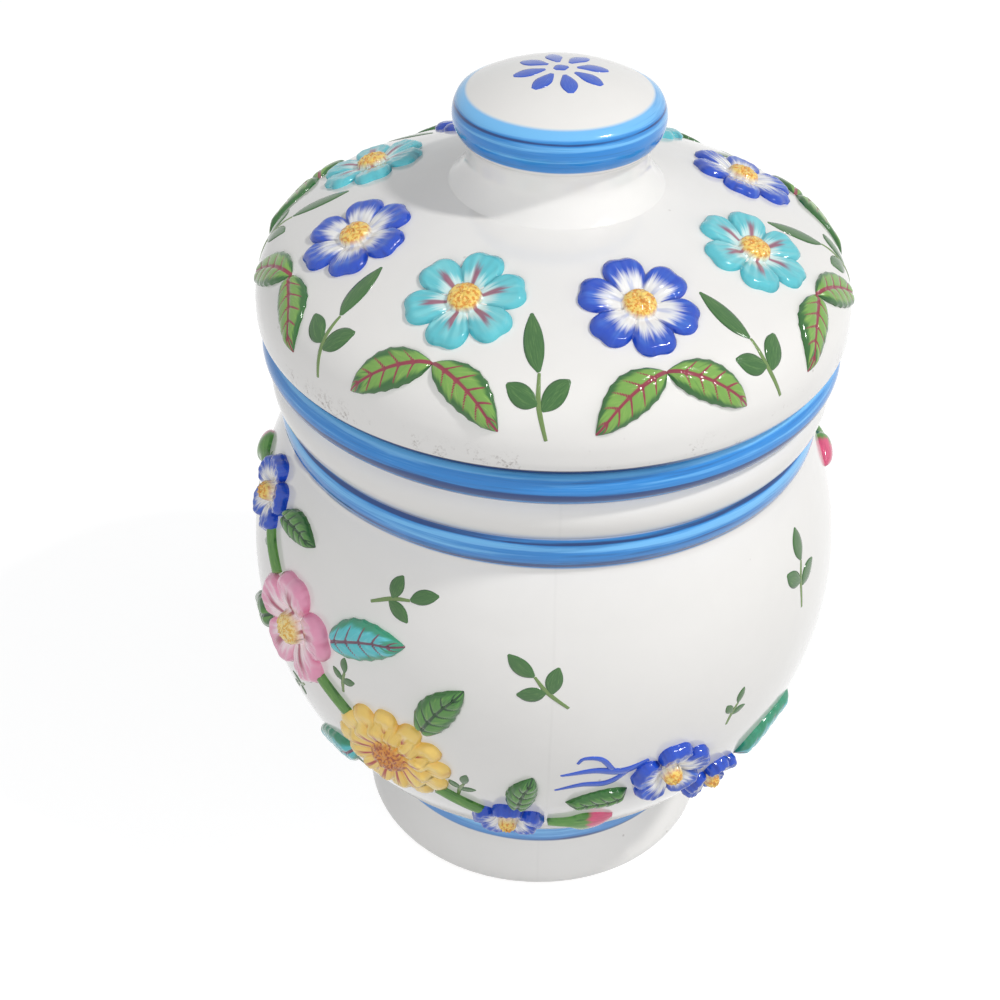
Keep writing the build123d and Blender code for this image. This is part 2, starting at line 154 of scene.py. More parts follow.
@dataclass(frozen=True)
class LidShape:
    """Sizes of the lid's turned outline and its knob, in millimetres."""

    lid_r: float = 85.2
    side_z: float = 193.8
    edge_round: float = 6.0
    shoulder_round: float = 20.0
    dome_arc_r: float = 158.0
    wall: float = 5.0
    seat_z: float = 185.0
    flange_r: float = 75.1
    flange_thick: float = 4.5
    flange_depth: float = 13.0
    soft_edge: float = 0.8
    vent_r: float = 4.0
    knob_flare_r: float = 30.7
    knob_stem_r: float = 25.2
    knob_stem_z: float = 235.0
    knob_neck_z: float = 240.0
    knob_r: float = 29.2
    knob_wide_z: float = 246.5
    knob_edge_r: float = 27.6
    knob_edge_z: float = 252.0
    knob_top_z: float = 259.6

    @property
    def shoulder_r(self) -> float:
        """Radius at which the shoulder round has its centre."""
        return self.lid_r - self.shoulder_round

    @property
    def dome_centre_z(self) -> float:
        """Height of the centre of the dome's arc."""
        return self.side_z - sqrt((self.dome_arc_r - self.shoulder_round) ** 2 - self.shoulder_r ** 2)

    @property
    def join_angle(self) -> float:
        """Angle from the vertical at which dome and shoulder round meet."""
        return asin(self.shoulder_r / (self.dome_arc_r - self.shoulder_round))

    @property
    def knob_arc_r(self) -> float:
        """Radius of the arc of the knob's top."""
        crown = self.knob_top_z - self.knob_edge_z
        return (self.knob_edge_r ** 2 + crown ** 2) / (2 * crown)

    def dome_at(self, r: float, grow: float = 0.0) -> float:
        """Height of the dome at one radius, with its wall moved outward by a distance."""
        return self.dome_centre_z + sqrt((self.dome_arc_r + grow) ** 2 - r ** 2)

    def shoulder_at(self, angle: float, grow: float = 0.0) -> Point:
        """Radius and height on the shoulder round at an angle from the vertical."""
        reach = self.shoulder_round + grow
        return (self.shoulder_r + reach * sin(angle), self.side_z + reach * cos(angle))


@dataclass(frozen=True)
class Spot:
    """Plane that touches a wall: x runs round it to the right, y up it, out is away from it."""

    middle: Vector
    right: Vector
    out: Vector

    @property
    def up(self) -> Vector:
        """Direction up the wall."""
        return self.out.cross(self.right)

    @classmethod
    def on(cls, turn: float, r: float, z: float, out_r: float, out_z: float) -> "Spot":
        """Touching plane at one place of a turned wall.

        Args:
            turn: degrees round the jar from the front, positive to the right.
            r: radius of the place.
            z: height of the place.
            out_r: radial part of the outward direction.
            out_z: upward part of the outward direction.

        Returns:
            The plane.
        """
        a = radians(turn)
        return cls(Vector((r * sin(a), -r * cos(a), z)), Vector((cos(a), sin(a), 0)),
                   Vector((out_r * sin(a), -out_r * cos(a), out_z)))


class Wall:
    """Outer wall of a pot that flowers are laid on."""

    body: Body

    def measure(self, r: Array, z: Array) -> tuple[Array, Array, Array]:
        """Distance outside the wall, and the radial and upward part of the outward direction there."""
        raise NotImplementedError


@dataclass(frozen=True)
class BellyWall(Wall):
    """The jar's round belly, made of two arcs that meet at its widest height."""

    shape: JarShape = JarShape()
    body: Body = Body.JAR

    def measure(self, r: Array, z: Array) -> tuple[Array, Array, Array]:
        """Distance outside the belly and the outward direction there."""
        s = self.shape
        arc_r = np.where(z < s.belly_z, s.lower_arc_r, s.upper_arc_r)
        away_r = r - (s.belly_r - arc_r)
        away_z = z - s.belly_z
        reach = np.hypot(away_r, away_z)
        return reach - arc_r, away_r / reach, away_z / reach

    def touch(self, turn: float, z: float) -> Spot:
        """Place at a turn in degrees and a height in millimetres."""
        s = self.shape
        arc_r = s.arc_at(z)
        r = s.belly_at(z)
        return Spot.on(turn, r, z, (r - s.belly_r + arc_r) / arc_r, (z - s.belly_z) / arc_r)

    def touch_girth(self, half_turn: float, girth: float, z: float) -> Spot:
        """Place a distance round the widest girth from a half turn, at a height in millimetres."""
        return self.touch(half_turn + degrees(girth / self.shape.belly_r), z)


@dataclass(frozen=True)
class LidWall(Wall):
    """The lid's dome, its shoulder round and its upright side."""

    shape: LidShape = LidShape()
    body: Body = Body.LID

    def measure(self, r: Array, z: Array) -> tuple[Array, Array, Array]:
        """Distance outside the lid and the outward direction there."""
        s = self.shape
        side_r = r - s.shoulder_r
        side_z = z - s.side_z
        on_side = z < s.side_z
        on_dome = (np.arctan2(side_r, side_z) < s.join_angle) & ~on_side
        away_r = np.where(on_dome, r, side_r)
        away_z = np.where(on_dome, z - s.dome_centre_z, np.where(on_side, 0.0, side_z))
        reach = np.maximum(np.hypot(away_r, away_z), TINY)
        arc_r = np.where(on_dome, s.dome_arc_r, s.shoulder_round)
        return reach - arc_r, away_r / reach, away_z / reach

    def touch(self, turn: float, r: float) -> Spot:
        """Place on the dome at a turn in degrees and a radius in millimetres."""
        out_r = r / self.shape.dome_arc_r
        return Spot.on(turn, r, self.shape.dome_at(r), out_r, sqrt(1 - out_r ** 2))

    def touch_shoulder(self, turn: float, angle: float) -> Spot:
        """Place on the shoulder round, its angle in degrees from the vertical."""
        tip = radians(angle)
        return Spot.on(turn, *self.shape.shoulder_at(tip), sin(tip), cos(tip))


@dataclass(frozen=True)
class KnobWall(Wall):
    """The knob's domed top."""

    shape: LidShape = LidShape()
    body: Body = Body.LID

    def measure(self, r: Array, z: Array) -> tuple[Array, Array, Array]:
        """Distance outside the knob's top and the outward direction there."""
        away_z = z - (self.shape.knob_top_z - self.shape.knob_arc_r)
        reach = np.hypot(r, away_z)
        return reach - self.shape.knob_arc_r, r / reach, away_z / reach

    def top(self) -> Spot:
        """Place in the middle of the top, facing up."""
        near_axis = 0.01
        out_r = near_axis / self.shape.knob_arc_r
        out_z = sqrt(1 - out_r ** 2)
        z = self.shape.knob_top_z - self.shape.knob_arc_r * (1 - out_z)
        return Spot.on(0.0, near_axis, z, out_r, out_z)


def lay(wall: Wall, spot: Spot, x: Array, y: Array, lift: Array) -> Array:
    """Project flat drawing points onto a wall along the spot's outward direction, then lift them.

    Args:
        wall: wall that carries the drawing.
        spot: plane of the drawing.
        x: drawing coordinates to the right, in millimetres.
        y: drawing coordinates up the wall.
        lift: height above the wall.

    Returns:
        Points in millimetres, one row each.
    """
    steps = 14
    least_facing = 0.25
    flat = (np.array(spot.middle)[None, :] + x[:, None] * np.array(spot.right)[None, :]
            + y[:, None] * np.array(spot.up)[None, :])
    out = np.array(spot.out)

    def look(place: Array) -> tuple[Array, Array]:
        """Distance outside the wall and outward direction at some points."""
        r = np.maximum(np.hypot(place[:, 0], place[:, 1]), TINY)
        gap, out_r, out_z = wall.measure(r, place[:, 2])
        return gap, np.stack([out_r * place[:, 0] / r, out_r * place[:, 1] / r, out_z], axis=1)

    travel = np.zeros(len(x))
    for _ in range(steps):
        gap, away = look(flat + travel[:, None] * out[None, :])
        travel -= gap / np.maximum(away @ out, least_facing)
    place = flat + travel[:, None] * out[None, :]
    return place + look(place)[1] * lift[:, None]


def smooth(value: Array, low: float, high: float) -> Array:
    """Soft step from 0 to 1 between two values."""
    t = np.clip((value - low) / (high - low), 0, 1)
    return t * t * (3 - 2 * t)


def bell(value: Array, middle: float, width: float) -> Array:
    """Soft bump of height 1 round a middle."""
    return np.exp(-((value - middle) / width) ** 2)


# Meshes


class Outline:
    """Half section of a turned piece, drawn as points of radius and height in millimetres."""

    def __init__(self, r: float, z: float) -> None:
        """Start at a point."""
        self.points = [Vector((r, z))]

    def line(self, r: float, z: float, count: int = 1) -> None:
        """Go straight to a point in a number of steps."""
        start, end = self.points[-1], Vector((r, z))
        self.points += [start.lerp(end, index / count) for index in range(1, count + 1)]

    def arc(self, through: Point, end: Point, count: int) -> None:
        """Go along the circle through two further points.

        Args:
            through: a point on the way.
            end: where the arc ends.
            count: number of steps.
        """
        a = self.points[-1]
        ab = Vector(through) - a
        ac = Vector(end) - a
        turn = 2 * (ab.x * ac.y - ab.y * ac.x)
        centre = a + Vector(((ac.y * ab.length_squared - ab.y * ac.length_squared) / turn,
                             (ab.x * ac.length_squared - ac.x * ab.length_squared) / turn))
        start = a - centre
        middle = Vector(through) - centre
        sweep = start.angle_signed(middle) + middle.angle_signed(Vector(end) - centre)
        for index in range(1, count):
            angle = -sweep * index / count
            self.points.append(centre + Vector((start.x * cos(angle) - start.y * sin(angle),
                                                start.x * sin(angle) + start.y * cos(angle))))
        self.points.append(Vector(end))

    def curve(self, end: Point, start_way: Point, end_way: Point, count: int) -> None:
        """Go along a cubic curve with set end directions.

        Args:
            end: where the curve ends.
            start_way: direction and strength at the start.
            end_way: direction and strength at the end.
            count: number of steps.
        """
        a, b = self.points[-1], Vector(end)
        for index in range(1, count + 1):
            t = index / count
            self.points.append(a * (2 * t ** 3 - 3 * t ** 2 + 1) + Vector(start_way) * (t ** 3 - 2 * t ** 2 + t)
                               + b * (3 * t ** 2 - 2 * t ** 3) + Vector(end_way) * (t ** 3 - t ** 2))


def mesh_piece(name: str, points: Array, faces: Faces, body: Body) -> bpy.types.Object:
    """Make a smooth-shaded piece, ride it on a body and report it.

    Args:
        name: name of the piece.
        points: one row per vertex, in millimetres.
        faces: vertex numbers of each face.
        body: body that the piece moves with.

    Returns:
        The new object.
    """
    mesh = bpy.data.meshes.new(name)
    mesh.from_pydata((points * MM).tolist(), [], faces)
    mesh.validate()
    mesh.shade_smooth()
    piece = put(name, mesh)
    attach(piece, body.value)
    log.info("%s: %d faces", name, len(mesh.polygons))
    return piece


def put(name: str, data: bpy.types.ID) -> bpy.types.Object:
    """Put a mesh, lamp or camera in the scene."""
    made = bpy.data.objects.new(name, data)
    bpy.context.collection.objects.link(made)
    return made


def grid_faces(rows: int, columns: int, closed: bool, first: int = 0) -> Faces:
    """Quads of a grid of points kept row by row.

    Args:
        rows: number of rows.
        columns: number of points in a row.
        closed: whether the last column joins the first.
        first: number of the grid's first point.

    Returns:
        Vertex numbers of the quads.
    """
    faces = []
    for row in range(rows - 1):
        for column in range(columns if closed else columns - 1):
            after = (column + 1) % columns
            a = first + row * columns
            b = a + columns
            faces.append((a + column, a + after, b + after, b + column))
    return faces


def turned_piece(name: str, outline: Outline, body: Body, material: bpy.types.Material, node: str) -> None:
    """Turn an outline round the axis in the place of a node.

    Args:
        name: name of the piece.
        outline: half section; an end on the axis closes the form there.
        body: body that the piece moves with.
        material: glaze of the piece.
        node: node that the piece replaces.
    """
    sides = 256
    on_axis = 1e-4
    ends = (outline.points[0], outline.points[-1])
    rings = [p for p in outline.points if p.x > on_axis]
    turns = np.arange(sides) * 2 * pi / sides
    points = np.concatenate([np.stack([p.x * np.sin(turns), -p.x * np.cos(turns), np.full(sides, p.y)], axis=1)
                             for p in rings])
    faces = grid_faces(len(rings), sides, True)
    last = (len(rings) - 1) * sides
    after = [(k + 1) % sides for k in range(sides)]
    if ends[0].x <= on_axis:
        faces += [(len(points), after[k], k) for k in range(sides)]
        points = np.vstack([points, [0, 0, ends[0].y]])
    if ends[1].x <= on_axis:
        faces += [(len(points), last + k, last + after[k]) for k in range(sides)]
        points = np.vstack([points, [0, 0, ends[1].y]])
    if min(ends[0].x, ends[1].x) > on_axis:
        faces += [(last + k, last + after[k], after[k], k) for k in range(sides)]
    piece = mesh_piece(name, points, faces, body)
    piece.data.materials.append(material)
    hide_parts(node)


# Materials


@dataclass(frozen=True)
class Value:
    """Output of a shader node that sums can be written on."""

    graph: "Graph"
    socket: bpy.types.NodeSocket

    def __add__(self, other: "Value | float") -> "Value":
        """Sum of two values."""
        return self.graph.math("ADD", self, other)

    def __sub__(self, other: "Value | float") -> "Value":
        """This value less another."""
        return self.graph.math("SUBTRACT", self, other)

    def __rsub__(self, other: float) -> "Value":
        """A number less this value."""
        return self.graph.math("SUBTRACT", other, self)

    def __mul__(self, other: "Value | float") -> "Value":
        """Product of two values."""
        return self.graph.math("MULTIPLY", self, other)

    def __truediv__(self, other: float) -> "Value":
        """This value divided by a number."""
        return self.graph.math("DIVIDE", self, other)


class Graph:
    """Short-hand for building a shader tree."""

    def __init__(self, tree: bpy.types.NodeTree) -> None:
        """Keep the tree that nodes are added to."""
        self.tree = tree

    def feed(self, socket: bpy.types.NodeSocket, value: object) -> None:
        """Link a value to an input, or write a constant in it."""
        if isinstance(value, Value):
            self.tree.links.new(value.socket, socket)
        elif isinstance(value, tuple) and socket.type == "RGBA":
            socket.default_value = (*value, 1.0)
        else:
            socket.default_value = value

    def node(self, kind: str, inputs: dict[str | int, object], **settings: object) -> bpy.types.Node:
        """Add a node.

        Args:
            kind: Blender's name of the node type.
            inputs: what goes into its inputs, by name or number.
            settings: plain settings of the node.

        Returns:
            The new node.
        """
        made = self.tree.nodes.new(kind)
        for key, value in settings.items():
            setattr(made, key, value)
        for key, value in inputs.items():
            self.feed(made.inputs[key], value)
        return made

    def result(self, output: str | int, kind: str, inputs: dict[str | int, object], **settings: object) -> Value:
        """One output of a new node."""
        return Value(self, self.node(kind, inputs, **settings).outputs[output])

    def group(self, tree: bpy.types.NodeTree, inputs: dict[str | int, object]) -> dict[str, Value]:
        """Outputs of a placed shader group, by name."""
        made = self.node("ShaderNodeGroup", {}, node_tree=tree)
        for key, value in inputs.items():
            self.feed(made.inputs[key], value)
        return {socket.name: Value(self, socket) for socket in made.outputs}

    def math(self, operation: str, *values: object) -> Value:
        """Result of one sum on one to three values."""
        return self.result(0, "ShaderNodeMath", dict(enumerate(values)), operation=operation)

    def step(self, value: Value, low: float, high: float) -> Value:
        """Soft step from 0 to 1 between two values."""
        return self.result("Result", "ShaderNodeMapRange", {"Value": value, "From Min": low, "From Max": high},
                           interpolation_type="SMOOTHSTEP")

    def mix(self, share: Value, first: object, second: object) -> Value:
        """Blend of two colours."""
        return self.result(2, "ShaderNodeMix", {"Factor": share, 6: first, 7: second}, data_type="RGBA")

    def ramp(self, value: Value, stops: tuple[Point, ...]) -> Value:
        """Number that runs through the given stops, each a place from 0 to 1 and its value."""
        made = self.node("ShaderNodeValToRGB", {0: value})
        made.color_ramp.interpolation = "EASE"
        points = made.color_ramp.elements
        while len(points) < len(stops):
            points.new(0.5)
        for point, (place, level) in zip(points, stops):
            point.position = place
            point.color = (level, level, level, 1.0)
        return Value(self, made.outputs["Color"])

    def tint(self, colour: object, value: Value) -> Value:
        """Colour made lighter or darker by a number."""
        return self.result(0, "ShaderNodeVectorMath", {0: colour, "Scale": value}, operation="SCALE")

    def noise(self, vector: Value, scale: object, detail: float = 3.0, rough: float = 0.55) -> Value:
        """Soft noise from 0 to 1."""
        return self.result(0, "ShaderNodeTexNoise", {"Vector": vector, "Scale": scale, "Detail": detail,
                                                     "Roughness": rough})

    def split(self, vector: Value) -> tuple[Value, ...]:
        """The three parts of a vector."""
        return tuple(Value(self, part) for part in self.node("ShaderNodeSeparateXYZ", {0: vector}).outputs)

    def join(self, *parts: Value) -> Value:
        """Vector made of three numbers."""
        return self.result(0, "ShaderNodeCombineXYZ", dict(enumerate(parts)))

    def stretched(self, vector: Value, scale: Colour) -> Value:
        """Vector with each part multiplied."""
        return self.result(0, "ShaderNodeVectorMath", {0: vector, 1: scale}, operation="MULTIPLY")

    def kept(self, name: str) -> tuple[Value, ...]:
        """The three numbers that the mesh keeps per vertex under a name."""
        return self.split(self.result("Vector", "ShaderNodeAttribute", {}, attribute_name=name))

    def place(self) -> Value:
        """Place in the frame at rest, in metres."""
        return self.result("Object", "ShaderNodeTexCoord", {})

    def seen(self) -> Value:
        """Whether a ray comes from the camera, a mirror or glass."""
        rays = self.node("ShaderNodeLightPath", {})
        camera, glossy, through = (Value(self, rays.outputs[f"Is {kind} Ray"])
                                   for kind in ("Camera", "Glossy", "Transmission"))
        return self.math("MAXIMUM", self.math("MAXIMUM", camera, glossy), through)


def shader_group(name: str, takes: dict[str, float | str], gives: tuple[str, ...],
                 fill: Callable[[Graph, dict[str, Value]], tuple[Value, ...]]) -> bpy.types.NodeTree:
    """Shader group with named inputs and outputs.

    Args:
        name: name of the group.
        takes: inputs with their first value, or "vector" or "colour".
        gives: outputs; one whose name ends in Colour is a colour.
        fill: makes the outputs' values from the graph and the inputs.

    Returns:
        The group.
    """
    group = bpy.data.node_groups.new(name, "ShaderNodeTree")
    kinds = {"vector": "NodeSocketVector", "colour": "NodeSocketColor"}
    for key, value in takes.items():
        made = group.interface.new_socket(name=key, in_out="INPUT", socket_type=kinds.get(value, "NodeSocketFloat"))
        if not isinstance(value, str):
            made.default_value = value
    for key in gives:
        kind = "NodeSocketColor" if key.endswith("Colour") else "NodeSocketFloat"
        group.interface.new_socket(name=key, in_out="OUTPUT", socket_type=kind)
    g = Graph(group)
    start = g.node("NodeGroupInput", {})
    taken = {key: Value(g, start.outputs[key]) for key in takes}
    g.node("NodeGroupOutput", dict(zip(gives, fill(g, taken))))
    return group


def uneven_glaze(g: Graph, taken: dict[str, Value]) -> tuple[Value, ...]:
    """Unevenness of a fired glaze: its tone, fine specks, surface height and roughness."""
    place = g.place()
    fine = g.noise(place, 190.0)
    tone = g.noise(place, 22.0, 2.0) * 0.06 + fine * 0.025 + 0.9575
    dots = g.node("ShaderNodeTexVoronoi", {"Vector": place, "Scale": 260.0}, feature="F1")
    chosen = g.step(g.split(Value(g, dots.outputs["Color"]))[0], 0.975, 0.985)
    spot = 1.0 - g.step(Value(g, dots.outputs["Distance"]), 0.05, 0.16)
    wavy = g.noise(place, 75.0, 1.0) + g.noise(place, 900.0, 2.0) * 0.05
    return (tone, chosen * spot * taken["Speck Amount"], wavy * taken["Wave Height"], fine * 0.12 + 0.07)


def brush_streaks(g: Graph, taken: dict[str, Value]) -> tuple[Value, ...]:
    """Streaks that a loaded brush leaves, and the slower raggedness of its edge, both round 0."""
    streaks = g.noise(taken["Vector"], taken["Fineness"], 4.0, 0.65)
    edge = g.noise(taken["Vector"], taken["Fineness"] * 0.5, 2.0, 0.5)
    return ((streaks - 0.5) * taken["Contrast"], edge - 0.5)


def enamel_depth(g: Graph, taken: dict[str, Value]) -> tuple[Value, ...]:
    """Painted colour: darker where it pools, lighter where the brush ran dry."""
    thin = g.mix(g.step(taken["Load"], 0.0, 0.5), taken["Thin Colour"], taken["Full Colour"])
    return (g.mix(g.step(taken["Load"], 0.55, 1.0), thin, taken["Pool Colour"]),)


@dataclass(frozen=True)
class Coat:
    """Glaze material in the making, with the unevenness that all glazes share."""

    material: bpy.types.Material
    g: Graph
    shader: bpy.types.Node
    uneven: dict[str, Value]

    def finish(self, colour: Value, lift: Value, depth: float = 0.00012) -> bpy.types.Material:
        """Feed the colour and the surface's height to the shader.

        Args:
            colour: colour of the glaze.
            lift: height of the surface, as a share of the depth.
            depth: what a height of 1 stands for, in metres.

        Returns:
            The finished material.
        """
        self.g.feed(self.shader.inputs["Base Color"], colour)
        normal = self.g.result("Normal", "ShaderNodeBump", {"Strength": 1.0, "Distance": depth, "Height": lift})
        self.g.feed(self.shader.inputs["Normal"], normal)
        return self.material


class Workshop:
    """Holds the shader groups and starts each glaze material with them."""

    coat_weight = 0.2

    def __init__(self) -> None:
        """Build each shared group once."""
        self.glaze = shader_group("glaze_unevenness", {"Speck Amount": 0.5, "Wave Height": 0.5},
                                  ("Tone", "Specks", "Height", "Roughness"), uneven_glaze)
        self.brush = shader_group("brush_streaks", {"Vector": "vector", "Fineness": 1.0, "Contrast": 0.5},
                                  ("Streaks", "Edge"), brush_streaks)
        self.enamel = shader_group("enamel_depth", {"Thin Colour": "colour", "Full Colour": "colour",
                                                    "Pool Colour": "colour", "Load": 0.5},
                                   ("Paint Colour",), enamel_depth)

    def start(self, name: str, specks: float, waves: float) -> Coat:
        """New glaze material.

        Args:
            name: name of the material.
            specks: how strongly iron specks show.
            waves: how wavy the glaze's surface is.

        Returns:
            The material in the making.
        """
        material = bpy.data.materials.new(name)
        material.use_nodes = True
        g = Graph(material.node_tree)
        shader = material.node_tree.nodes["Principled BSDF"]
        uneven = g.group(self.glaze, {"Speck Amount": specks, "Wave Height": waves})
        for key, value in (("IOR", 1.5), ("Coat Weight", self.coat_weight), ("Coat Roughness", 0.04),
                           ("Roughness", uneven["Roughness"])):
            g.feed(shader.inputs[key], value)
        return Coat(material, g, shader, uneven)

    def streaks(self, g: Graph, vector: Value, fineness: float, contrast: float = 1.0) -> tuple[Value, Value]:
        """Brush streaks and the raggedness of their edge."""
        made = g.group(self.brush, {"Vector": vector, "Fineness": fineness, "Contrast": contrast})
        return made["Streaks"], made["Edge"]

    def paint(self, g: Graph, thin: Colour, full: Colour, pool: Colour, load: Value) -> Value:
        """Painted colour whose depth follows how much paint there is."""
        return g.group(self.enamel, {"Thin Colour": thin, "Full Colour": full, "Pool Colour": pool,
                                     "Load": load})["Paint Colour"]


@dataclass(frozen=True)
class Band:
    """Painted band round a pot, between two heights in millimetres.

    The stops pair a share of the way up the band with its paint; on beads, pale stops paint highlight and deep ones
    shade.
    """

    low: float
    high: float
    paint_and_shade_stops: tuple[Point, ...]
    strength: float = 1.0
    wobble: float = 0.3


@dataclass(frozen=True)
class PotGlaze:
    """White glaze, blue bands with painted highlight and shade, and as asked a bare foot, a seam or a smudged joint
    with a painted gap shadow.
    """

    name: str
    bands: tuple[Band, ...] = ()
    biscuit_z: float | None = None
    seam_turn: float | None = None
    joint_z: float | None = None
    white: Colour = srgb(238, 236, 233)
    thin_blue: Colour = srgb(116, 194, 250)
    full_blue: Colour = srgb(38, 138, 218)
    deep_blue: Colour = srgb(8, 64, 130)
    speck: Colour = srgb(120, 105, 95)
    biscuit: Colour = srgb(214, 200, 182)
    # dark blue of the painted shadow in the gap under the lid's edge
    gap_shadow_blue: Colour = srgb(20, 34, 92)
    seam_grey: Colour = srgb(180, 178, 176)
    smudge_fade: Point = (4.0, 12.0)
    # heights above the joint and radii that bound the painted gap shadow
    gap_shadow_z: Point = (3.35, 3.65)
    gap_shadow_r: Point = (0.0775, 0.078)

    def smudges(self, g: Graph, place: Value, height: Value) -> Value:
        """Mask of the rubbed smudges just above the joint."""
        low, high = self.smudge_fade
        near = 1.0 - g.step(height, self.joint_z + low, self.joint_z + high)
        above = g.step(height, self.joint_z - 1.0, self.joint_z)
        patches = g.step(g.noise(place, 60.0, 5.0, 0.75), 0.52, 0.62)
        return near * above * patches * g.step(g.noise(place, 800.0, 3.0, 0.8), 0.46, 0.60)

    def painted_gap_shadow(self, g: Graph, place: Value, height: Value) -> Value:
        """Mask of the painted shadow in the gap at the lid's edge, in dark blue, on the lid's left, shaded side."""
        x, y, _ = g.split(place)
        low, high = self.gap_shadow_z
        waver = (g.noise(place, 14.0) - 0.5) * 0.9
        under = 1.0 - g.step(height + waver, self.joint_z + low, self.joint_z + high)
        outer = g.step(g.math("SQRT", x * x + y * y), *self.gap_shadow_r)
        # painted shadow: fades out towards the right, where light reaches the gap
        return under * outer * (1.0 - g.step(x, 0.02, 0.06))

    def seam(self, g: Graph, place: Value) -> Value:
        """Mask of the faint casting seam up the pot."""
        x, y, _ = g.split(place)
        turn = radians(self.seam_turn)
        waver = (g.noise(place, 30.0) - 0.5) * 0.0012
        return 1.0 - g.step(g.math("ABSOLUTE", x * cos(turn) + y * sin(turn) + waver), 0.0001, 0.0007)

    def outside(self, g: Graph, place: Value) -> Value:
        """Mask of what faces away from the axis."""
        x, y, _ = g.split(place)
        way_x, way_y, _ = g.split(g.result("Normal", "ShaderNodeNewGeometry", {}))
        return g.step(x * way_x + y * way_y, -0.03, -0.01)

    def build(self, shop: Workshop) -> bpy.types.Material:
        """Make the material.

        Args:
            shop: the shared shader groups.

        Returns:
            The material.
        """
        coat = shop.start(self.name, 0.8, 1.0)
        g = coat.g
        place = g.place()
        height = g.split(place)[2] / MM
        lift = coat.uneven["Height"]
        colour = g.mix(coat.uneven["Specks"] * 0.45, g.tint(self.white, coat.uneven["Tone"]), self.speck)
        if self.joint_z is not None:
            colour = g.mix(self.smudges(g, place, height) * 0.7, colour, self.speck)
            # painted shadow of the gap between the lid's edge and the rim, in dark blue
            colour = g.mix(self.painted_gap_shadow(g, place, height), colour, self.gap_shadow_blue)
        if self.seam_turn is not None:
            seam = self.seam(g, place)
            lift = lift + seam * 0.14
            colour = g.mix(seam * 0.05, colour, self.seam_grey)
        if self.bands:
            streaks, _ = shop.streaks(g, g.stretched(place, (18.0, 18.0, 700.0)), 1.0, 0.9)
            drift, drift_edge = shop.streaks(g, g.stretched(place, (30.0, 30.0, 60.0)), 1.0)
            outside = self.outside(g, place)
        for band in self.bands:
            ragged = height + drift_edge * (band.wobble * 2)
            low = g.step(ragged, band.low - 0.25, band.low + 0.35)
            high = g.step(ragged, band.high - 0.35, band.high + 0.25)
            mask = low * (1.0 - high) * outside
            across = (height - band.low) / (band.high - band.low)
            # paint load across the band; its stops also paint a highlight at the bead's top and shade lower down
            load = g.ramp(across + drift_edge * 0.10, band.paint_and_shade_stops) + streaks * 2.0 + drift * 0.22
            blue = shop.paint(g, self.thin_blue, self.full_blue, self.deep_blue, load)
            colour = g.mix(mask * band.strength, colour, blue)
            lift = lift + mask * 0.25
        if self.biscuit_z is not None:
            bare = 1.0 - g.step(height, self.biscuit_z - 0.3, self.biscuit_z + 0.3)
            grain = g.noise(place, 1500.0, 4.0, 0.7)
            colour = g.mix(bare, colour, g.tint(self.biscuit, grain * 0.3 + 0.85))
            g.feed(coat.shader.inputs["Roughness"], coat.uneven["Roughness"] + bare * 0.7)
            g.feed(coat.shader.inputs["Coat Weight"], (1.0 - bare) * shop.coat_weight)
        return coat.finish(colour, lift)


@dataclass(frozen=True)
class PetalGlaze:
    """Painted petals: a pale or coloured heart, brushed outward into the edge colour."""

    name: str
    heart: Colour
    body: Colour
    edge: Colour
    deep: Colour
    vein: Colour
    eye: Colour
    eye_dark: Colour
    turn_at: float
    vein_reach: float
    vein_strength: float
    streaks: float = 26.0

    def build(self, shop: Workshop) -> bpy.types.Material:
        """Make the material from the petal coordinates that the mesh keeps.

        Args:
            shop: the shared shader groups.

        Returns:
            The material.
        """
        coat = shop.start(self.name, 0.2, 0.5)
        g = coat.g
        out, side, eye = g.kept("petal")
        ray_x, ray_y, seed = g.kept("ray")
        streaks, edge = shop.streaks(g, g.join(ray_x * self.streaks, ray_y * self.streaks, out * 1.6 + seed), 0.35)
        ragged = out + streaks * 0.55
        load = edge * 1.1 + 0.34 + g.step(out, 0.8, 1.0) * 0.25
        painted = shop.paint(g, self.body, self.edge, self.deep, load)
        colour = g.mix(g.step(ragged, self.turn_at - 0.13, self.turn_at + 0.13),
                       g.tint(self.heart, coat.uneven["Tone"]), painted)
        middle = 1.0 - g.step(side + edge * 0.35, 0.10, 0.30)
        length = 1.0 - g.step(ragged, self.vein_reach - 0.12, self.vein_reach + 0.12)
        colour = g.mix(middle * length * self.vein_strength, colour, self.vein)
        pool = g.step(side, 0.86, 1.0) * g.step(out, 0.25, 0.6)
        colour = g.mix(pool * 0.45, colour, self.deep)
        dots = g.step(g.noise(g.place(), 1100.0, 2.0), 0.44, 0.60)
        colour = g.mix(eye, colour, g.mix(dots, self.eye, self.eye_dark))
        return coat.finish(colour, coat.uneven["Height"] + streaks * 0.6)


@dataclass(frozen=True)
class LeafGlaze:
    """Painted leaf with a brushed second colour on its edge and drawn veins."""

    name: str
    thin: Colour
    full: Colour
    deep: Colour
    border: Colour
    vein: Colour
    border_share: float = 0.8
    vein_strength: float = 0.9

    def build(self, shop: Workshop) -> bpy.types.Material:
        """Make the material from the leaf coordinates that the mesh keeps.

        Args:
            shop: the shared shader groups.

        Returns:
            The material.
        """
        coat = shop.start(self.name, 0.2, 0.5)
        g = coat.g
        along, side, vein = g.kept("petal")
        seed = g.kept("ray")[2]
        streaks, edge = shop.streaks(g, g.join((along - side * 0.3) * 22.0, side * 2.0, seed), 0.8)
        load = streaks * 1.2 + 0.5 + g.step(side, 0.75, 1.0) * 0.2
        colour = shop.paint(g, self.thin, self.full, self.deep, load)
        border = g.math("MAXIMUM", g.step(side + edge * 0.7, 0.56, 0.84), g.step(along + edge, 0.80, 0.96))
        colour = g.mix(border * self.border_share, colour, self.border)
        colour = g.mix(g.step(vein, 0.28, 0.62) * self.vein_strength, colour, self.vein)
        return coat.finish(colour, coat.uneven["Height"] + streaks * 0.6)


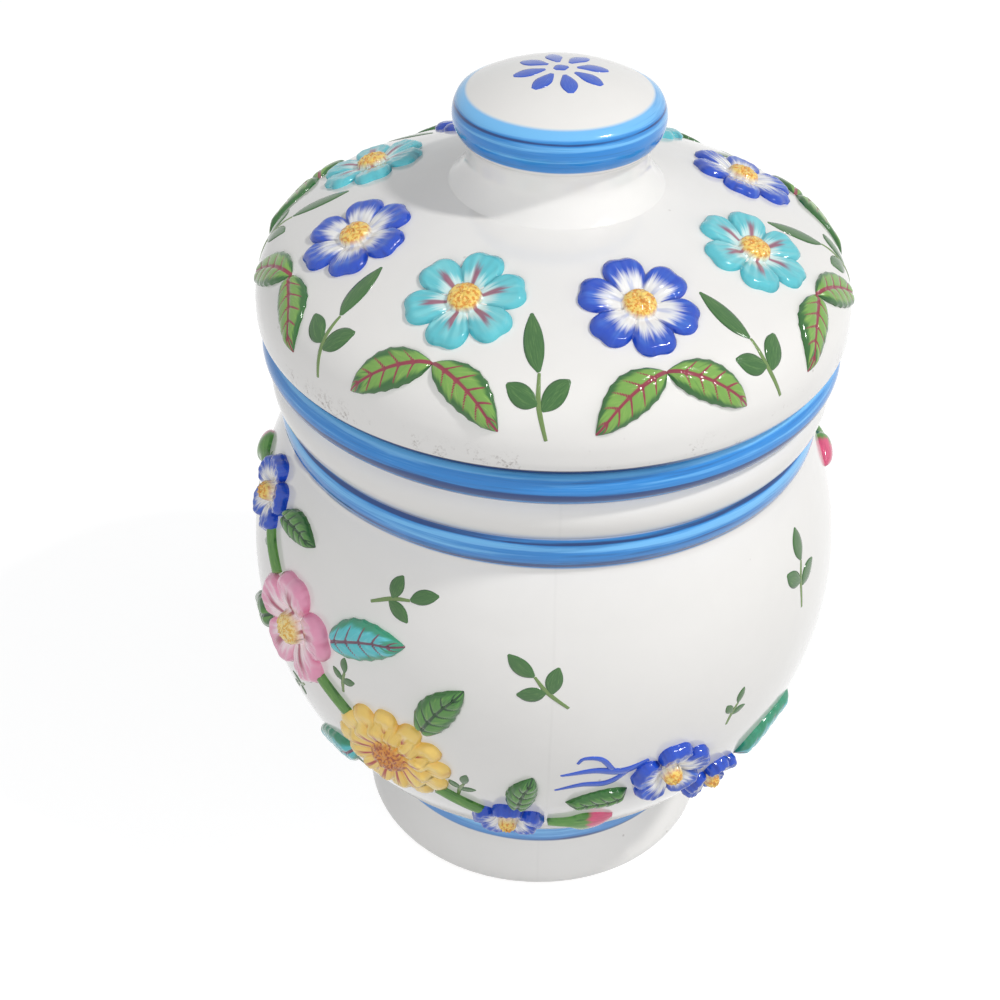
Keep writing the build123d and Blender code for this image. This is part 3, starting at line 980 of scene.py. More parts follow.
@dataclass(frozen=True)
class StrokeGlaze:
    """Brush stroke of one colour, lighter where it is thin, with a second colour for toned strokes."""

    name: str
    thin: Colour
    full: Colour
    deep: Colour
    tip: Colour | None = None
    tip_from: float = 0.6
    toned: Colour | None = None

    def build(self, shop: Workshop) -> bpy.types.Material:
        """Make the material from the stroke coordinates that the mesh keeps.

        Args:
            shop: the shared shader groups.

        Returns:
            The material.
        """
        coat = shop.start(self.name, 0.0, 0.5)
        g = coat.g
        along, side, tone = g.kept("petal")
        _, across, seed = g.kept("ray")
        streaks, edge = shop.streaks(g, g.join(along * 3.0, across * 7.0, seed), 1.3)
        load = streaks * 1.3 + 0.45 + g.step(side, 0.7, 1.0) * 0.25
        colour = shop.paint(g, self.thin, self.full, self.deep, load)
        if self.toned:
            colour = g.mix(tone, colour, g.tint(self.toned, streaks * 0.8 + 0.9))
        if self.tip:
            reached = g.step(along + edge * 0.25, self.tip_from - 0.06, self.tip_from + 0.06)
            colour = g.mix(reached, colour, g.tint(self.tip, streaks * 0.7 + 0.85))
        return coat.finish(colour, coat.uneven["Height"] + streaks * 0.4, depth=0.0001)


EYE = (srgb(248, 214, 110), srgb(225, 150, 50))
FINISHES: dict[Paint, PetalGlaze | LeafGlaze | StrokeGlaze] = {
    Paint.PINK: PetalGlaze("pink_petals", srgb(250, 226, 234), srgb(248, 206, 222), srgb(240, 158, 190),
                           srgb(206, 84, 128), srgb(168, 34, 82), srgb(250, 226, 150), srgb(232, 178, 70),
                           turn_at=0.62, vein_reach=0.72, vein_strength=0.9),
    Paint.YELLOW: PetalGlaze("yellow_petals", srgb(238, 176, 78), srgb(252, 226, 142), srgb(246, 208, 108),
                             srgb(220, 150, 60), srgb(176, 38, 66), srgb(226, 150, 56), srgb(170, 84, 40),
                             turn_at=0.35, vein_reach=0.66, vein_strength=0.9),
    Paint.BLUE: PetalGlaze("blue_petals", srgb(240, 240, 240), srgb(64, 116, 216), srgb(30, 76, 194),
                           srgb(16, 44, 140), srgb(60, 110, 210), *EYE,
                           turn_at=0.62, vein_reach=0.5, vein_strength=0.35, streaks=34.0),
    Paint.TURQUOISE: PetalGlaze("turquoise_petals", srgb(214, 240, 240), srgb(136, 218, 224), srgb(92, 196, 208),
                                srgb(36, 130, 150), srgb(150, 40, 84), *EYE,
                                turn_at=0.5, vein_reach=0.66, vein_strength=0.85),
    Paint.LEAF_GREEN: LeafGlaze("green_leaf", srgb(150, 188, 92), srgb(84, 142, 62), srgb(38, 92, 40),
                                srgb(44, 100, 44), srgb(24, 66, 34)),
    Paint.LEAF_LID: LeafGlaze("lid_leaf", srgb(176, 204, 110), srgb(122, 170, 76), srgb(78, 132, 58),
                              srgb(46, 104, 48), srgb(150, 38, 70), border_share=0.95, vein_strength=0.95),
    Paint.LEAF_TURQUOISE: LeafGlaze("turquoise_leaf", srgb(140, 222, 226), srgb(84, 196, 204), srgb(32, 132, 140),
                                    srgb(48, 134, 76), srgb(120, 36, 70)),
    Paint.BUD: StrokeGlaze("pink_bud", srgb(150, 196, 104), srgb(96, 154, 70), srgb(44, 100, 44),
                           tip=srgb(238, 96, 138)),
    Paint.STEM: StrokeGlaze("green_stem", srgb(146, 184, 98), srgb(92, 144, 66), srgb(44, 96, 44)),
    Paint.SPRIG: StrokeGlaze("sprig_green", srgb(104, 146, 78), srgb(62, 110, 54), srgb(34, 76, 40),
                             toned=srgb(120, 150, 84)),
    Paint.COBALT: StrokeGlaze("cobalt_strokes", srgb(92, 134, 222), srgb(44, 88, 204), srgb(22, 54, 156)),
}


# Moulded and painted pieces


def columns_of(*parts: Array) -> Array:
    """Grids of numbers as one row of columns per point."""
    return np.stack([part.ravel() for part in parts], axis=1)


@dataclass(frozen=True)
class Piece:
    """Piece laid on a wall; a moulded one takes the place of the node of its name."""

    name: str
    wall: Wall
    spot: Spot
    paint: Paint
    seed: float

    def make(self, points: Array, faces: Faces, petal: Array, ray: Array, material: bpy.types.Material) -> None:
        """Make the object and keep on its mesh what its material reads.

        Args:
            points: one row per vertex, in millimetres.
            faces: vertex numbers of each face.
            petal: place along, place across and a third mark, one row per vertex.
            ray: direction or place of the brush and the seed, one row per vertex.
            material: painted glaze of the piece.
        """
        name = f"{self.name}_piece" if self.paint.moulded else self.name
        piece = mesh_piece(name, points, faces, self.wall.body)
        for key, values in (("petal", petal), ("ray", ray)):
            layer = piece.data.attributes.new(key, "FLOAT_VECTOR", "POINT")
            layer.data.foreach_set("vector", values.astype(np.float32).ravel())
        piece.data.materials.append(material)
        if self.paint.moulded:
            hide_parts(self.name)


@dataclass(frozen=True)
class Blossom(Piece):
    """Round moulded flower with oval petals and a raised eye."""

    petals: int
    reach: float
    eye_r: float
    relief: float
    eye_relief: float
    layers: int = 1
    first_petal: float = 90.0
    around: int = 180
    out_steps: int = 26
    inner_reach: float = 0.7
    sunk: float = 0.5

    def outline(self, side: Array) -> Array:
        """Reach of the petals for a place across them, 0 in the middle and 1 between two."""
        few = self.petals < 8
        return self.reach * (1 - (0.22 + 0.10 * few) * side ** 3.2 - 0.035 * few * bell(side, 0, 0.22))

    def height(self, out: Array, signed_side: Array) -> Array:
        """Relief of one layer of petals over its outward share and its place across."""
        side = np.abs(signed_side)
        rise = 0.45 + 0.55 * smooth(out, 0.12, 0.75)
        across = 1 - 0.42 * side ** 2.4
        groove = 0.3 * bell(side, 1, 0.14) * smooth(out, 0.15, 0.45)
        lip = 0.16 * bell(out, 0.86, 0.08)
        veins = 0.05 * np.cos(signed_side * 5 * pi) * smooth(out, 0.25, 0.6) * (1 - smooth(out, 0.8, 0.98))
        tuck = 0.10 * signed_side * smooth(out, 0.3, 0.8)
        edge = np.sqrt(1 - smooth(out, 0.86, 1.0) ** 2 * 0.75)
        return self.relief * (rise * across - groove + lip + veins + tuck) * edge

    def build(self, material: bpy.types.Material) -> None:
        """Make the flower with its petal coordinates.

        Args:
            material: painted glaze for the flower.
        """
        turns = np.arange(self.around) * 2 * pi / self.around
        outs = np.concatenate([np.linspace(0.03, 1.0, self.out_steps), [1.0]])
        turn, out = np.meshgrid(turns, outs)
        sector = 2 * pi / self.petals
        local = ((turn - radians(self.first_petal) + sector / 2) % sector) / sector * 2 - 1
        side = np.abs(local)
        span = out * self.outline(side)
        lift = self.height(out, local)
        if self.layers > 1:
            inner = ((turn - radians(self.first_petal)) % sector) / sector * 2 - 1
            inner_out = span / (self.outline(np.abs(inner)) * self.inner_reach)
            inside = smooth(1.02 - inner_out, 0.0, 0.05)
            top = self.height(np.clip(inner_out, 0, 1), inner) * 0.75 + 0.55 * self.relief
            lift = lift * 0.72 * (1 - inside) + top * inside
            side = np.where(inside > 0.5, np.abs(inner), side)
        dome = np.sqrt(np.clip(1 - (span / self.eye_r) ** 2, 0, 1))
        stipple = 0.08 * np.cos(span / self.eye_r * 9) * np.cos(turn * 9) + 0.05 * np.cos(turn * 5 + span * 3)
        in_eye = smooth(1.04 - span / self.eye_r, 0.0, 0.1)
        throat = 0.35 * self.relief * bell(span, self.eye_r, 0.16 * self.reach)
        eye = self.eye_relief * (0.42 + 0.5 * dome + stipple * dome)
        lift = (lift - throat * (1 - in_eye)) * (1 - in_eye) + in_eye * eye
        lift[-1, :] = -self.sunk
        x = np.append((span * np.cos(turn)).ravel(), 0)
        y = np.append((span * np.sin(turn)).ravel(), 0)
        points = lay(self.wall, self.spot, x, y, np.append(lift.ravel(), self.eye_relief * 0.95))
        faces = grid_faces(len(outs), self.around, True)
        faces += [(turn.size, (k + 1) % self.around, k) for k in range(self.around)]
        petal = np.vstack([columns_of(out, side, in_eye), [0, 0, 1]])
        ray = columns_of(np.cos(turn), np.sin(turn), np.full(turn.shape, self.seed))
        outward = [tuple(reversed(face)) for face in faces]
        self.make(points, outward, petal, np.vstack([ray, [0, 0, self.seed]]), material)


@dataclass(frozen=True)
class Sheet:
    """Grid of drawing points with their height and what their material reads."""

    x: Array
    y: Array
    lift: Array
    along: Array
    side: Array
    mark: Array
    seed: float


@dataclass(frozen=True)
class Sheets(Piece):
    """Piece made of several sheets, each long along its rows."""

    def across(self) -> Array:
        """Places across a sheet, its two edges twice so that they turn down into the wall."""
        return np.concatenate([[-1.0], np.linspace(-1, 1, self.columns), [1.0]])

    def sheets(self) -> list[Sheet]:
        """Sheets of the piece."""
        raise NotImplementedError

    def build(self, material: bpy.types.Material) -> None:
        """Make the piece from its sheets.

        Args:
            material: painted glaze of the piece.
        """
        points, petal, ray, faces = [], [], [], []
        for sheet in self.sheets():
            faces += grid_faces(*sheet.along.shape, False, len(points) * sheet.along.size)
            points.append(lay(self.wall, self.spot, sheet.x.ravel(), sheet.y.ravel(), sheet.lift.ravel()))
            petal.append(columns_of(sheet.along, np.abs(sheet.side), sheet.mark))
            ray.append(columns_of(sheet.along, sheet.side, np.full(sheet.along.shape, sheet.seed)))
        self.make(np.vstack(points), faces, np.vstack(petal), np.vstack(ray), material)


@dataclass(frozen=True)
class Blade:
    """Shape of one leaf: where it starts, its way, its length, its width and its bend."""

    root: Point
    direction: float
    length: float
    width: float
    bend: float


@dataclass(frozen=True)
class Leaves(Sheets):
    """Moulded leaves that grow from one place, as one piece."""

    blades: tuple[Blade, ...]
    relief: float
    veins: int = 5
    teeth: int = 7
    rows: int = 60
    columns: int = 25
    least: float = 0.12
    sunk: float = 0.4

    def sheets(self) -> list[Sheet]:
        """One sheet for each leaf, marked where its veins are."""
        made = []
        for number, blade in enumerate(self.blades):
            along, side = np.meshgrid(np.linspace(0, 1, self.rows), self.across(), indexing="ij")
            off = np.abs(side)
            lens = (4 * along * (1 - along)) ** 0.82 * (1.12 - 0.24 * along)
            tooth = 1 - 0.06 * np.abs(np.sin(along * self.teeth * pi)) * off ** 6
            half = np.maximum(blade.width / 2 * lens * tooth, self.least)
            flat_x = along * blade.length
            flat_y = side * half + blade.bend * np.sin(along * pi) * blade.width
            a = radians(blade.direction)
            full = np.minimum(1, half / (0.28 * blade.width))
            pillow = np.sqrt(1 - off ** 3.2 * 0.86)
            rib = np.exp(-(side * half / (0.62 - 0.3 * along)) ** 2)
            slant = along * (self.veins + 1) - off * 0.9
            near = np.abs(slant - np.round(slant)) / (self.veins + 1) * blade.length
            line = bell(near, 0, 0.38) * (1 - off) ** 0.4 * smooth(along, 0.05, 0.15)
            ripple = 0.10 * np.sin(along * pi * 2.2 + number)
            lift = np.maximum(self.relief * full * (pillow * 0.92 - 0.22 * rib - 0.13 * line + ripple), self.least)
            lift[:, [0, -1]] = -self.sunk
            made.append(Sheet(blade.root[0] + flat_x * cos(a) - flat_y * sin(a),
                              blade.root[1] + flat_x * sin(a) + flat_y * cos(a), lift, along, side,
                              np.maximum(rib, line * (1 - smooth(off, 0.72, 0.86))), self.seed + number))
        return made


@dataclass(frozen=True)
class Stroke:
    """Line on a wall with its own width and height along it."""

    path: tuple[Point, ...]
    widths: tuple[float, ...]
    lifts: tuple[float, ...]
    tone: float = 0.0


@dataclass(frozen=True)
class Strokes(Sheets):
    """Brush strokes or round stalks that follow lines on a wall, as one piece."""

    strokes: tuple[Stroke, ...]
    rows: int = 28
    columns: int = 9
    sunk: float = 0.3

    def sheets(self) -> list[Sheet]:
        """One sheet for each stroke, marked with its tone."""
        made = []
        t = np.linspace(0, 1, self.rows)
        along, side = np.meshgrid(t, self.across(), indexing="ij")
        for number, stroke in enumerate(self.strokes):
            line = np.stack([curve_values([point[axis] for point in stroke.path], t) for axis in (0, 1)], axis=1)
            way = np.gradient(line, axis=0)
            way /= np.maximum(np.linalg.norm(way, axis=1, keepdims=True), TINY)
            half = curve_values(stroke.widths, t)[:, None] / 2
            lift = curve_values(stroke.lifts, t)[:, None] * np.sqrt(1 - 0.92 * side ** 2)
            lift[:, [0, -1]] = lift[[0, -1], :] = -self.sunk
            made.append(Sheet(line[:, :1] - way[:, 1:] * side * half, line[:, 1:] + way[:, :1] * side * half,
                              lift, along, side, np.full(side.shape, stroke.tone), self.seed + number * 3))
        return made


def curve_values(values: list[float] | tuple[float, ...], at: Array) -> Array:
    """Smooth curve through evenly spaced values.

    Args:
        values: the values, spread evenly from 0 to 1.
        at: places asked for.

    Returns:
        Values there, from a cubic through each stretch.
    """
    knots = np.linspace(0, 1, len(values))
    level = np.array(values, dtype=float)
    slopes = np.gradient(level, knots)
    index = np.clip(np.searchsorted(knots, at, side="right") - 1, 0, len(knots) - 2)
    width = knots[index + 1] - knots[index]
    u = (at - knots[index]) / width
    return ((2 * u ** 3 - 3 * u ** 2 + 1) * level[index] + (u ** 3 - 2 * u ** 2 + u) * width * slopes[index]
            + (3 * u ** 2 - 2 * u ** 3) * level[index + 1] + (u ** 3 - u ** 2) * width * slopes[index + 1])


def at_edge(reach: float, direction: float, gap: float = 0.5) -> Point:
    """Place in a flower's plane just outside its petals."""
    away = reach + gap
    return (away * cos(radians(direction)), away * sin(radians(direction)))


def turned(path: list[Point], angle: float, start: Point = (0, 0)) -> tuple[Point, ...]:
    """Path turned by an angle in degrees and moved to a start."""
    a = radians(angle)
    return tuple((start[0] + x * cos(a) - y * sin(a), start[1] + x * sin(a) + y * cos(a)) for x, y in path)


# Sub-assemblies


@dataclass(frozen=True)
class JarPot:
    """The jar's turned pot: foot, belly, beads, collar, rim and hollow."""

    shape: JarShape = JarShape()

    def outline(self) -> Outline:
        """Outline from the underside round the outside and down the inside."""
        s = self.shape
        low_mid = (s.waist_z + s.belly_z) / 2
        high_mid = (s.shoulder_z + s.belly_z) / 2
        inner_foot = s.foot_neck_r - s.wall
        floor = s.foot_recess + s.wall
        path = Outline(0, s.foot_recess)
        path.line(s.foot_ring_r - s.soft_edge, s.foot_recess, 4)
        path.line(s.foot_ring_r, s.foot_recess - s.soft_edge)
        path.line(s.foot_ring_r + s.soft_edge / 3, s.soft_edge / 2, 2)
        path.line(s.foot_ring_r + s.soft_edge, 0)
        path.line(s.foot_glaze_r - 0.4, 0, 3)
        path.arc((s.foot_r - s.soft_edge, 1.1), (s.foot_r, s.foot_edge_z), 6)
        path.curve((s.foot_neck_r, s.foot_neck_z), (-1.5, 13), (-0.9, 11), 8)
        path.curve((s.belly_at(s.waist_z), s.waist_z), (-0.5, 8), (0.6, 6), 5)
        path.arc((s.belly_at(low_mid), low_mid), (s.belly_r, s.belly_z), 36)
        path.arc((s.belly_at(high_mid), high_mid), (s.belly_at(s.shoulder_z), s.shoulder_z), 22)
        path.arc((s.bead_r, (s.shoulder_z + s.bead_top_z) / 2), (s.bead_top_r, s.bead_top_z), 14)
        path.arc((s.collar_r, (s.bead_top_z + s.collar_top_z) / 2), (s.collar_top_r, s.collar_top_z), 16)
        path.arc((s.rim_r, (s.collar_top_z + s.seat_z) / 2), (s.seat_r, s.seat_z), 16)
        path.line(s.mouth_r + s.soft_edge, s.seat_z, 2)
        path.line(s.mouth_r, s.seat_z - s.soft_edge)
        path.line(s.mouth_r, s.mouth_low_z, 4)
        path.curve((s.belly_at(s.shoulder_z, -s.wall), s.shoulder_z), (0, -5), (-3, -6), 6)
        path.arc((s.belly_at(high_mid, -s.wall), high_mid), (s.belly_r - s.wall, s.belly_z), 16)
        path.arc((s.belly_at(low_mid, -s.wall), low_mid), (s.belly_at(s.waist_z, -s.wall), s.waist_z), 24)
        path.line(inner_foot, s.foot_neck_z, 4)
        path.line(inner_foot, floor + s.floor_round, 2)
        bulge = s.floor_round * 0.3
        path.arc((inner_foot - bulge, floor + bulge), (inner_foot - s.floor_round, floor), 5)
        path.line(0, floor, 4)
        return path

    def build(self, shop: Workshop) -> None:
        """Make the pot and its banded glaze."""
        s = self.shape
        foot = Band(17.2, s.waist_z + 1.4, ((0.0, 0.75), (0.14, 0.55), (0.45, 0.15), (0.8, 0.05)), 0.9, 0.6)
        # bead band: the pale stop near its top is painted highlight, and the deep stops at its top edge and low
        # down are painted shade, over the brushed paint
        bead = Band(s.shoulder_z - 0.2, s.bead_top_z,
                    ((0.0, 0.6), (0.10, 0.95), (0.25, 0.68), (0.48, 0.55), (0.74, 0.02), (0.82, 0.25),
                     (0.88, 1.0), (1.0, 0.8)))
        # rim band: the pale top is painted highlight and the deep line a third of the way up is painted shade, over
        # the brushed paint
        rim = Band(s.collar_top_z - 0.3, s.seat_z + 2.0,
                   ((0.0, 0.8), (0.20, 0.55), (0.33, 1.0), (0.38, 1.0), (0.45, 0.6), (0.62, 0.42), (0.70, 0.5),
                    (0.78, 0.0)))
        glaze = PotGlaze("jar_glaze", (foot, bead, rim), biscuit_z=0.7, seam_turn=3.0)
        turned_piece("jar_pot", self.outline(), Body.JAR, glaze.build(shop), "jar_body")


@dataclass(frozen=True)
class LidPot:
    """The lid's turned shell and the hollow knob on it."""

    shape: LidShape = LidShape()

    def shell_outline(self) -> Outline:
        """Outline of the shell, round from the flange's inner low edge."""
        s = self.shape
        nick = s.soft_edge / 4
        inner_r = s.flange_r - s.flange_thick
        low_z = s.seat_z - s.flange_depth
        ledge_z = s.seat_z + s.wall
        ledge_r = s.shoulder_r + sqrt((s.shoulder_round - s.wall) ** 2 - (s.side_z - ledge_z) ** 2)
        mid = (s.join_angle + pi / 2) / 2
        outer_r = s.shoulder_at(s.join_angle)[0]
        inner = s.shoulder_at(s.join_angle, -s.wall)
        path = Outline(inner_r + s.soft_edge, low_z)
        path.line(s.flange_r - s.soft_edge, low_z, 2)
        path.line(s.flange_r - nick, low_z + nick)
        path.line(s.flange_r, low_z + s.soft_edge)
        path.line(s.flange_r, s.seat_z - 2 * nick, 3)
        path.line(s.flange_r + 2 * nick, s.seat_z)
        path.line(s.lid_r - s.edge_round, s.seat_z, 3)
        path.arc((s.lid_r - s.edge_round * (1 - sin(pi / 4)), s.seat_z + s.edge_round * (1 - cos(pi / 4))),
                 (s.lid_r, s.seat_z + s.edge_round), 12)
        path.line(s.lid_r, s.side_z, 2)
        path.arc(s.shoulder_at(mid), s.shoulder_at(s.join_angle), 18)
        path.arc((outer_r / 2, s.dome_at(outer_r / 2)), (s.vent_r, s.dome_at(s.vent_r)), 36)
        path.line(s.vent_r, s.dome_at(s.vent_r, -s.wall), 2)
        path.arc((inner[0] / 2, s.dome_at(inner[0] / 2, -s.wall)), inner, 24)
        path.arc(s.shoulder_at(mid, -s.wall), (ledge_r, ledge_z), 12)
        path.line(inner_r + 3 * nick, ledge_z, 3)
        path.line(inner_r, ledge_z - 3 * nick)
        path.line(inner_r, low_z + s.soft_edge, 4)
        path.line(inner_r + nick, low_z + nick)
        return path

    def knob_outline(self) -> Outline:
        """Outline of the knob, from its flared base to the middle of its top."""
        s = self.shape
        mid_r = s.knob_edge_r / 2
        path = Outline(s.knob_flare_r, s.dome_at(s.knob_flare_r) - 0.25)
        path.curve((s.knob_stem_r, s.knob_stem_z), (-4.5, 1.4), (0, 7), 12)
        path.line(s.knob_stem_r, s.knob_neck_z - 0.8, 3)
        path.curve((s.knob_stem_r + 1.2, s.knob_neck_z + 0.9), (0.2, 1.6), (1.8, 1.0), 4)
        path.arc((s.knob_r, s.knob_wide_z), (s.knob_edge_r, s.knob_edge_z), 16)
        path.arc((mid_r, s.knob_top_z - s.knob_arc_r + sqrt(s.knob_arc_r ** 2 - mid_r ** 2)), (0, s.knob_top_z), 22)
        return path

    def build(self, shop: Workshop) -> None:
        """Make the lid and the knob with their glazes."""
        s = self.shape
        shell_glaze = PotGlaze("lid_glaze", joint_z=s.seat_z)
        turned_piece("lid_shell", self.shell_outline(), Body.LID, shell_glaze.build(shop), "lid_dome")
        # knob band: the pale stops near its top are painted highlights and the deep line between them is painted
        # shade, over the brushed paint
        cap = Band(s.knob_neck_z + 2.2, s.knob_edge_z + 1.3,
                   ((0.0, 0.7), (0.12, 0.55), (0.42, 0.42), (0.60, 0.15), (0.69, 0.5), (0.74, 0.95), (0.80, 0.2),
                    (0.88, 0.0)))
        knob_glaze = PotGlaze("knob_glaze", (cap,))
        turned_piece("knob_shell", self.knob_outline(), Body.LID, knob_glaze.build(shop), "lid_knob")


@dataclass(frozen=True)
class Bloom:
    """Flower of the belly: its place, its paint and its size."""

    girth: float
    z: float
    paint: Paint
    petals: int
    reach: float
    eye_r: float
    layers: int = 1

    def spot(self, wall: BellyWall, half_turn: float) -> Spot:
        """Place of the flower on the front or the back of the belly."""
        return wall.touch_girth(half_turn, self.girth, self.z)


HALVES = (("front", 0), ("back", 180))
TURQUOISE_LEAF = (Paint.LEAF_TURQUOISE, 26.0, 13.0)
GREEN_LEAF = (Paint.LEAF_GREEN, 22.0, 11.0)
SMALL_LEAF = (Paint.LEAF_GREEN, 18.0, 9.0)
BLOOMS = {
    "pink_blossom": Bloom(-82.6, 108, Paint.PINK, 5, 18, 5.0),
    "yellow_daisy": Bloom(-44.5, 80, Paint.YELLOW, 12, 19, 5.6, layers=2),
    "upper_blue_flower": Bloom(-111.2, 137, Paint.BLUE, 5, 12, 3.0),
    "lower_blue_flower": Bloom(-7.9, 56, Paint.BLUE, 5, 11, 2.8),
    "bunch_big_flower": Bloom(42.9, 78, Paint.BLUE, 5, 13, 3.0),
    "bunch_small_flower": Bloom(65.1, 60, Paint.BLUE, 5, 10, 2.5),
}
BELLY_LEAVES = (
    ("turquoise_leaf_upper", "pink_blossom", 22, TURQUOISE_LEAF),
    ("green_leaf_upper", "pink_blossom", 205, GREEN_LEAF),
    ("turquoise_leaf_middle", "yellow_daisy", 215, TURQUOISE_LEAF),
    ("green_leaf_middle", "yellow_daisy", 55, GREEN_LEAF),
    ("green_leaf_top", "upper_blue_flower", 5, SMALL_LEAF),
    ("green_leaf_low", "lower_blue_flower", 75, SMALL_LEAF),
    ("bunch_leaf_green", "bunch_big_flower", 200, SMALL_LEAF),
    ("bunch_leaf_turquoise", "bunch_small_flower", 20, TURQUOISE_LEAF),
)
BELLY_BUDS = (("pink_bud_top", "upper_blue_flower", 178), ("pink_bud_low", "lower_blue_flower", -8))
BELLY_STEMS = (
    ("stem_upper", "pink_blossom", "upper_blue_flower"),
    ("stem_middle", "pink_blossom", "yellow_daisy"),
    ("stem_lower", "yellow_daisy", "lower_blue_flower"),
)
# Turn in degrees, height, way of growth in degrees and size of each sprig on one half of the belly
BELLY_SPRIGS = {
    "sprig": ((-33, 133, 20, 22), (6, 112, 130, 24), (58, 116, 80, 26), (100, 126, 60, 24), (126, 98, 110, 20)),
    "filler": ((-63, 122, 150, 13), (-52, 84, 215, 14), (-38, 97, 80, 14), (-15, 67, 70, 14), (38, 90, 65, 14),
               (-42, 62, 240, 13), (-84, 120, 200, 13)),
}
SCROLL = (
    Stroke(((14, -1), (6, -4), (-3, -2), (-13, -4)), (1.6, 3.0, 2.4, 0.8), (0.3, 0.55, 0.5, 0.2)),
    Stroke(((9, -3), (2, -9), (-6, -9), (-14, -12)), (1.2, 2.6, 2.0, 0.7), (0.3, 0.5, 0.4, 0.2)),
    Stroke(((3, -3), (-1, 3), (-6, 4), (-8, 1.5)), (1.6, 1.8, 1.4, 0.9), (0.4, 0.5, 0.3, 0.2)),
)


@dataclass(frozen=True)
class Ornaments:
    """Every moulded and painted piece on the pots, with the finishes they share."""

    shop: Workshop
    belly: BellyWall = BellyWall()
    lid: LidWall = LidWall()
    knob: KnobWall = KnobWall()
    belly_relief: float = 3.0
    lid_relief: float = 1.7
    eye_relief: float = 5.0
    lid_eye_relief: float = 3.0
    lid_count: int = 8
    finished: dict[Paint, bpy.types.Material] = field(default_factory=dict)

    def add(self, piece: Blossom | Sheets) -> None:
        """Make a piece in its paint, whose material is made once."""
        if piece.paint not in self.finished:
            self.finished[piece.paint] = FINISHES[piece.paint].build(self.shop)
        piece.build(self.finished[piece.paint])

    def stem(self, name: str, first: Bloom, second: Bloom, half_turn: float) -> None:
        """Stalk from one flower to the next.

        Args:
            name: name of its node.
            first: flower that it starts at.
            second: flower that it ends at.
            half_turn: turn of the half of the belly.
        """
        spot = first.spot(self.belly, half_turn)
        away = second.spot(self.belly, half_turn).middle - spot.middle
        across, up = away.dot(spot.right), away.dot(spot.up)
        direction = degrees(atan2(up, across))
        overlap = 2.5
        length = hypot(across, up) - first.reach - second.reach + overlap
        path = turned([(-overlap, 0), (length / 2, 0.4), (length, 0)], direction, at_edge(first.reach, direction))
        self.add(Strokes(name, self.belly, spot, Paint.STEM, direction,
                         (Stroke(path, (4.0, 3.4, 4.0), (2.2, 2.4, 2.2)),), columns=13))

    def garland(self, side: str, half_turn: float) -> None:
        """Garland and small bunch on one half of the belly."""
        for name, first, second in BELLY_STEMS:
            self.stem(f"{side}_{name}", BLOOMS[first], BLOOMS[second], half_turn)
        for name, bloom in BLOOMS.items():
            self.add(Blossom(f"{side}_{name}", self.belly, bloom.spot(self.belly, half_turn), bloom.paint,
                             half_turn + bloom.z, bloom.petals, bloom.reach, bloom.eye_r, self.belly_relief,
                             self.eye_relief, bloom.layers))
        for name, holder, direction, (paint, length, width) in BELLY_LEAVES:
            bloom = BLOOMS[holder]
            blade = Blade(at_edge(bloom.reach, direction), direction, length, width, bend=0.1)
            self.add(Leaves(f"{side}_{name}", self.belly, bloom.spot(self.belly, half_turn), paint,
                            half_turn + direction * 0.37, (blade,), self.belly_relief))
        for name, holder, direction in BELLY_BUDS:
            bloom = BLOOMS[holder]
            length = 20.0
            path = turned([(0, 0), (length * 0.33, 0.2), (length * 0.66, 0.3), (length - 0.3, 0)], direction,
                          at_edge(bloom.reach, direction))
            bud = Stroke(path, (3.0, 3.4, 4.6, 9.6, 9.2, 6.0, 1.0), (1.8, 2.2, 2.6, 3.4, 3.2, 2.4, 0.8))
            self.add(Strokes(f"{side}_{name}", self.belly, bloom.spot(self.belly, half_turn), Paint.BUD,
                             direction, (bud,), rows=48, columns=17))

    def lid_ring(self) -> None:
        """Ring of flowers, each with a spread pair of leaves, round the lid."""
        for index in range(self.lid_count):
            turn = (index + 0.5) * 360 / self.lid_count
            paint = Paint.TURQUOISE if index % 2 else Paint.BLUE
            self.add(Blossom(f"lid_flower_{index + 1}", self.lid, self.lid.touch(turn, 58.0), paint, index * 5.3,
                             6, 16.0, 4.4, self.lid_relief, self.lid_eye_relief))
            blades = tuple(Blade((0.0, 5.5), direction, 24.0, 11.0, bend)
                           for direction, bend in ((-150, -0.15), (-30, 0.15)))
            self.add(Leaves(f"lid_leaves_{index + 1}", self.lid, self.lid.touch_shoulder(turn, 50),
                            Paint.LEAF_LID, index * 3.1, blades, self.lid_relief))

    def sprig(self, name: str, wall: Wall, spot: Spot, angle: float, size: float) -> None:
        """Painted sprig: a curved stalk with three small leaves.

        Args:
            name: name of the piece.
            wall: wall that it is painted on.
            spot: place of the foot of its stalk.
            angle: way that it grows, in degrees from the right.
            size: length of the stalk in millimetres.
        """
        stalk = turned([(0, 0), (size * 0.35, size * 0.05), (size * 0.62, size * 0.03)], angle)
        strokes = [Stroke(stalk, (0.9, 1.3, 0.8), (0.16, 0.18, 0.14), tone=1.0)]
        for start, off, lean, share in ((0.60, 0.03, 8, 0.42), (0.36, 0.05, 58, 0.36), (0.30, 0.03, -52, 0.38)):
            foot = turned([(size * start, size * off)], angle)[0]
            length = size * share
            path = turned([(0, 0), (length * 0.5, length * 0.04), (length, 0)], angle + lean, foot)
            strokes.append(Stroke(path, (0.5, size * 0.16, size * 0.20, size * 0.15, 0.3),
                                  (0.16, 0.25, 0.28, 0.22, 0.14)))
        self.add(Strokes(name, wall, spot, Paint.SPRIG, angle * 0.11, tuple(strokes)))

    def sprigs(self) -> None:
        """Painted sprigs scattered over the belly and between the lid's flowers."""
        for kind, places in BELLY_SPRIGS.items():
            for side, half_turn in HALVES:
                for number, (turn, z, angle, size) in enumerate(places, 1):
                    self.sprig(f"{side}_{kind}_{number}", self.belly, self.belly.touch(half_turn + turn, z),
                               angle, size)
        for index in range(self.lid_count):
            spot = self.lid.touch_shoulder(index * 360 / self.lid_count, 80)
            self.sprig(f"lid_sprig_{index + 1}", self.lid, spot, 96, 26)

